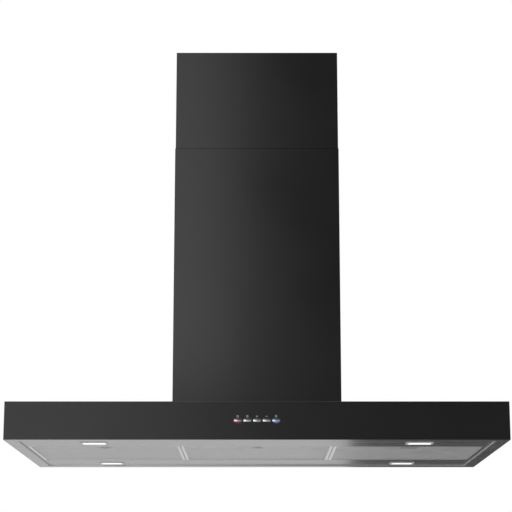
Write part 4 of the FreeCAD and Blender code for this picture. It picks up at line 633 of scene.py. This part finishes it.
def icons(middles):
    """Power, clock, plus, minus and lamp, printed above the buttons."""
    level = ICON_LEVEL
    line = ICON_LINE
    reach = ICON_REACH
    power, clock, more, less, lamp = middles
    parts = Parts()
    stroke(parts, arc(power, level, reach, 125, 415), line)
    stroke(parts, [(power, level + 0.4 * MM), (power, level + 2.3 * MM)], line)
    stroke(parts, arc(clock, level, reach, 0, 360)[:-1], line, closed=True)
    stroke(parts, [(clock, level + 1.3 * MM), (clock, level), (clock + 1.1 * MM, level)], line)
    for middle in (more, less):
        stroke(parts, [(middle - reach, level), (middle + reach, level)], line * 1.3)
    stroke(parts, [(more, level - reach), (more, level + reach)], line * 1.3)
    stroke(parts, arc(lamp, level + 0.5 * MM, BULB_RADIUS, -50, 230), line)
    for drop in (1.0 * MM, 1.8 * MM):
        stroke(parts, [(lamp - SOCKET_HALF, level - drop), (lamp + SOCKET_HALF, level - drop)], line)
    piece("button_icons", parts.vertices, parts.faces, INK, "hood")


def painted_glow_patch(number, middle, core, painted_halo):
    """A flat plate on the canopy's front round a button, carrying the painted glow of the button's lamp on
    the paint.
    """
    parts = Parts()
    across, up = GLOW_REACH
    outline = [(middle + across * math.cos(a), GLOW_LEVEL + up * math.sin(a))
               for a in (2 * math.pi * i / GLOW_SIDES for i in range(GLOW_SIDES))]
    parts.plate(outline, CANOPY_FRONT - GLOW_PROUD, CANOPY_FRONT + INK_DEPTH)
    name = "indicator_%d" % number
    material = painted_glow_finish(name + "_light", (middle, 0, GLOW_LEVEL), (across, 1, up), core, painted_halo)
    piece(name, parts.vertices, parts.faces, material, "hood")


CAP_FINISHES = [RED_GLOW_TINTED_CHROME] + [MATERIALS["button_chrome"]] * 3 + [BLUE_GLOW_TINTED_CHROME]
button_middles = [button(number, finish) for number, finish in enumerate(CAP_FINISHES, 1)]
icons(button_middles)
springs(button_middles)
# Red and blue painted glow round the first and last buttons.
painted_glow_patch(1, button_middles[0], (0.13, 0.03, 0.045, 1), (0.045, 0.004, 0.009, 1))
painted_glow_patch(BUTTON_COUNT, button_middles[-1], (0.13, 0.17, 0.28, 1), (0.004, 0.010, 0.045, 1))

# Camera below the hood, tilted up, so that it looks as the photograph does.
CAMERA_TILT = 12.35
camera_data = bpy.data.cameras.new("camera")
camera_data.lens = 112.5
camera_data.sensor_width = 36.0
camera_data.shift_x = -0.0018
camera_data.shift_y = 0.04
camera = bpy.data.objects.new("camera", camera_data)
camera.location = (0.0, -3.332, -0.324)
camera.rotation_euler = (math.radians(90 + CAMERA_TILT), 0.0, 0.0)
bpy.context.scene.collection.objects.link(camera)
bpy.context.scene.camera = camera


def soft_light(name, centre, aim, width, height, radiance):
    """A rectangular soft light whose face gives out that much light."""
    data = bpy.data.lights.new(name, "AREA")
    data.shape = "RECTANGLE"
    data.size = width
    data.size_y = height
    data.energy = radiance * math.pi * width * height
    lamp = bpy.data.objects.new(name, data)
    lamp.location = centre
    lamp.rotation_euler = (Vector(aim) - Vector(centre)).to_track_quat("-Z", "Y").to_euler()
    lamp.visible_camera = False
    bpy.context.scene.collection.objects.link(lamp)


soft_light("chimney_light", (-0.51, -0.87, 0.70), (-0.51, 0.0, 0.70), 0.93, 0.98, 1.33)
soft_light("front_light", (-1.7, -3.9, 0.15), (-1.7, 0.0, 0.15), 2.9, 1.0, 2.05)
soft_light("right_light", (1.6, -3.9, 0.15), (1.6, 0.0, 0.15), 1.4, 0.9, 0.35)
soft_light("top_light", (0.0, -0.6, 2.6), (0.0, -0.2, 0.0), 3.0, 3.0, 0.8)


# Strength of the world's light in front of the hood, behind it and from the floor far away.
FRONT_DIM = 0.05
BEHIND = 0.9
FAR_FLOOR = 0.9


def studio_world():
    """White for the camera; for light on the object, bright behind and dim in front, over a pale floor."""
    world = bpy.data.worlds.new("studio")
    bpy.context.scene.world = world
    tree = Tree(world, empty=True)
    axes = tree.add("SeparateXYZ", {0: tree.add("TexCoord").outputs["Generated"]})
    behind = tree.between(axes.outputs["Y"], FRONT_DIM, BEHIND, -0.6, 0.5)
    under = tree.between(axes.outputs["Z"], 1, 0, -0.02, 0.0)
    strength = tree.add("Mix", {0: under, 2: behind, 3: FAR_FLOOR}).outputs[0]
    light = tree.add("Background", {"Strength": strength})
    white = tree.add("Background", {"Strength": 1.0})
    for shader in (light, white):
        shader.inputs["Color"].default_value = grey(1.0)
    seen = tree.add("LightPath").outputs["Is Camera Ray"]
    mixed = tree.add("MixShader", {0: seen, 1: light.outputs[0], 2: white.outputs[0]})
    tree.add("OutputWorld", {"Surface": mixed.outputs[0]})


studio_world()

FLOOR_HEIGHT = -1.6
FLOOR_REACH = 40.0
HAZE_RANGE = (3.0, 30.0)
WHITE_RANGE = (1.0, 12.0)
NEAR_WHITE = 0.6


def floor_material():
    """Pale and matt, paler with distance; the camera sees it nearly white, with the object's shadow."""
    material = bpy.data.materials.new("floor_finish")
    tree = Tree(material, empty=True)
    place = tree.add("TexCoord").outputs["Object"]
    speckle = tree.add("TexNoise", {"Vector": place, "Scale": 40.0, "Detail": 3.0}).outputs["Fac"]
    tone = tree.add("Mix", {0: speckle, 6: grey(0.80), 7: grey(0.86)}, data_type="RGBA").outputs[2]
    matt = tree.add("BsdfDiffuse", {"Color": tone})
    away = tree.add("VectorMath", {0: place}, operation="LENGTH").outputs["Value"]
    far = tree.between(away, 0.0, 1.0, *HAZE_RANGE)
    haze = tree.add("Emission", {"Strength": FAR_FLOOR})
    lit = tree.add("MixShader", {0: far, 1: matt.outputs[0], 2: haze.outputs[0]})
    white = tree.add("Emission", {"Strength": 1.0})
    for shader in (haze, white):
        shader.inputs["Color"].default_value = grey(1.0)
    whiteness = tree.between(away, NEAR_WHITE, 1.0, *WHITE_RANGE)
    seen = tree.add("LightPath").outputs["Is Camera Ray"]
    share = tree.add("Math", {0: whiteness, 1: seen}, operation="MULTIPLY").outputs[0]
    mixed = tree.add("MixShader", {0: share, 1: lit.outputs[0], 2: white.outputs[0]})
    tree.add("OutputMaterial", {"Surface": mixed.outputs[0]})
    return material


def stage_plane(name, corners, material):
    """A four-cornered plane that belongs to the studio, not to the hood."""
    mesh = bpy.data.meshes.new(name)
    mesh.from_pydata(corners, [], [(0, 1, 2, 3)])
    mesh.materials.append(material)
    plane = bpy.data.objects.new(name, mesh)
    bpy.context.scene.collection.objects.link(plane)
    return plane


floor_corners = [(x * FLOOR_REACH, y * FLOOR_REACH, FLOOR_HEIGHT)
                 for x, y in ((-1, -1), (1, -1), (1, 1), (-1, 1))]
stage_plane("floor", floor_corners, floor_material())

# Dark flags behind and in front on the right, which only reflections show.
FLAG_EDGE = 0.28
FLAG_END = 3.0
FLAG_GLOW = 0.08
flag_material = bpy.data.materials.new("flag_finish")
flag_tree = Tree(flag_material, empty=True)
flag_glow = flag_tree.add("Emission", {"Strength": FLAG_GLOW})
flag_tree.add("OutputMaterial", {"Surface": flag_glow.outputs[0]})
for flag_name, flag_y, flag_top in (("flag_behind", 1.5, 0.3), ("flag_in_front", -4.5, -0.3)):
    flag_corners = [
        (FLAG_EDGE, flag_y, FLOOR_HEIGHT),
        (FLAG_END, flag_y, FLOOR_HEIGHT),
        (FLAG_END, flag_y, flag_top),
        (FLAG_EDGE, flag_y, flag_top),
    ]
    flag = stage_plane(flag_name, flag_corners, flag_material)
    flag.visible_camera = False
    flag.visible_diffuse = False
    flag.visible_transmission = False
    flag.visible_shadow = False

bpy.context.scene.view_settings.view_transform = "Standard"
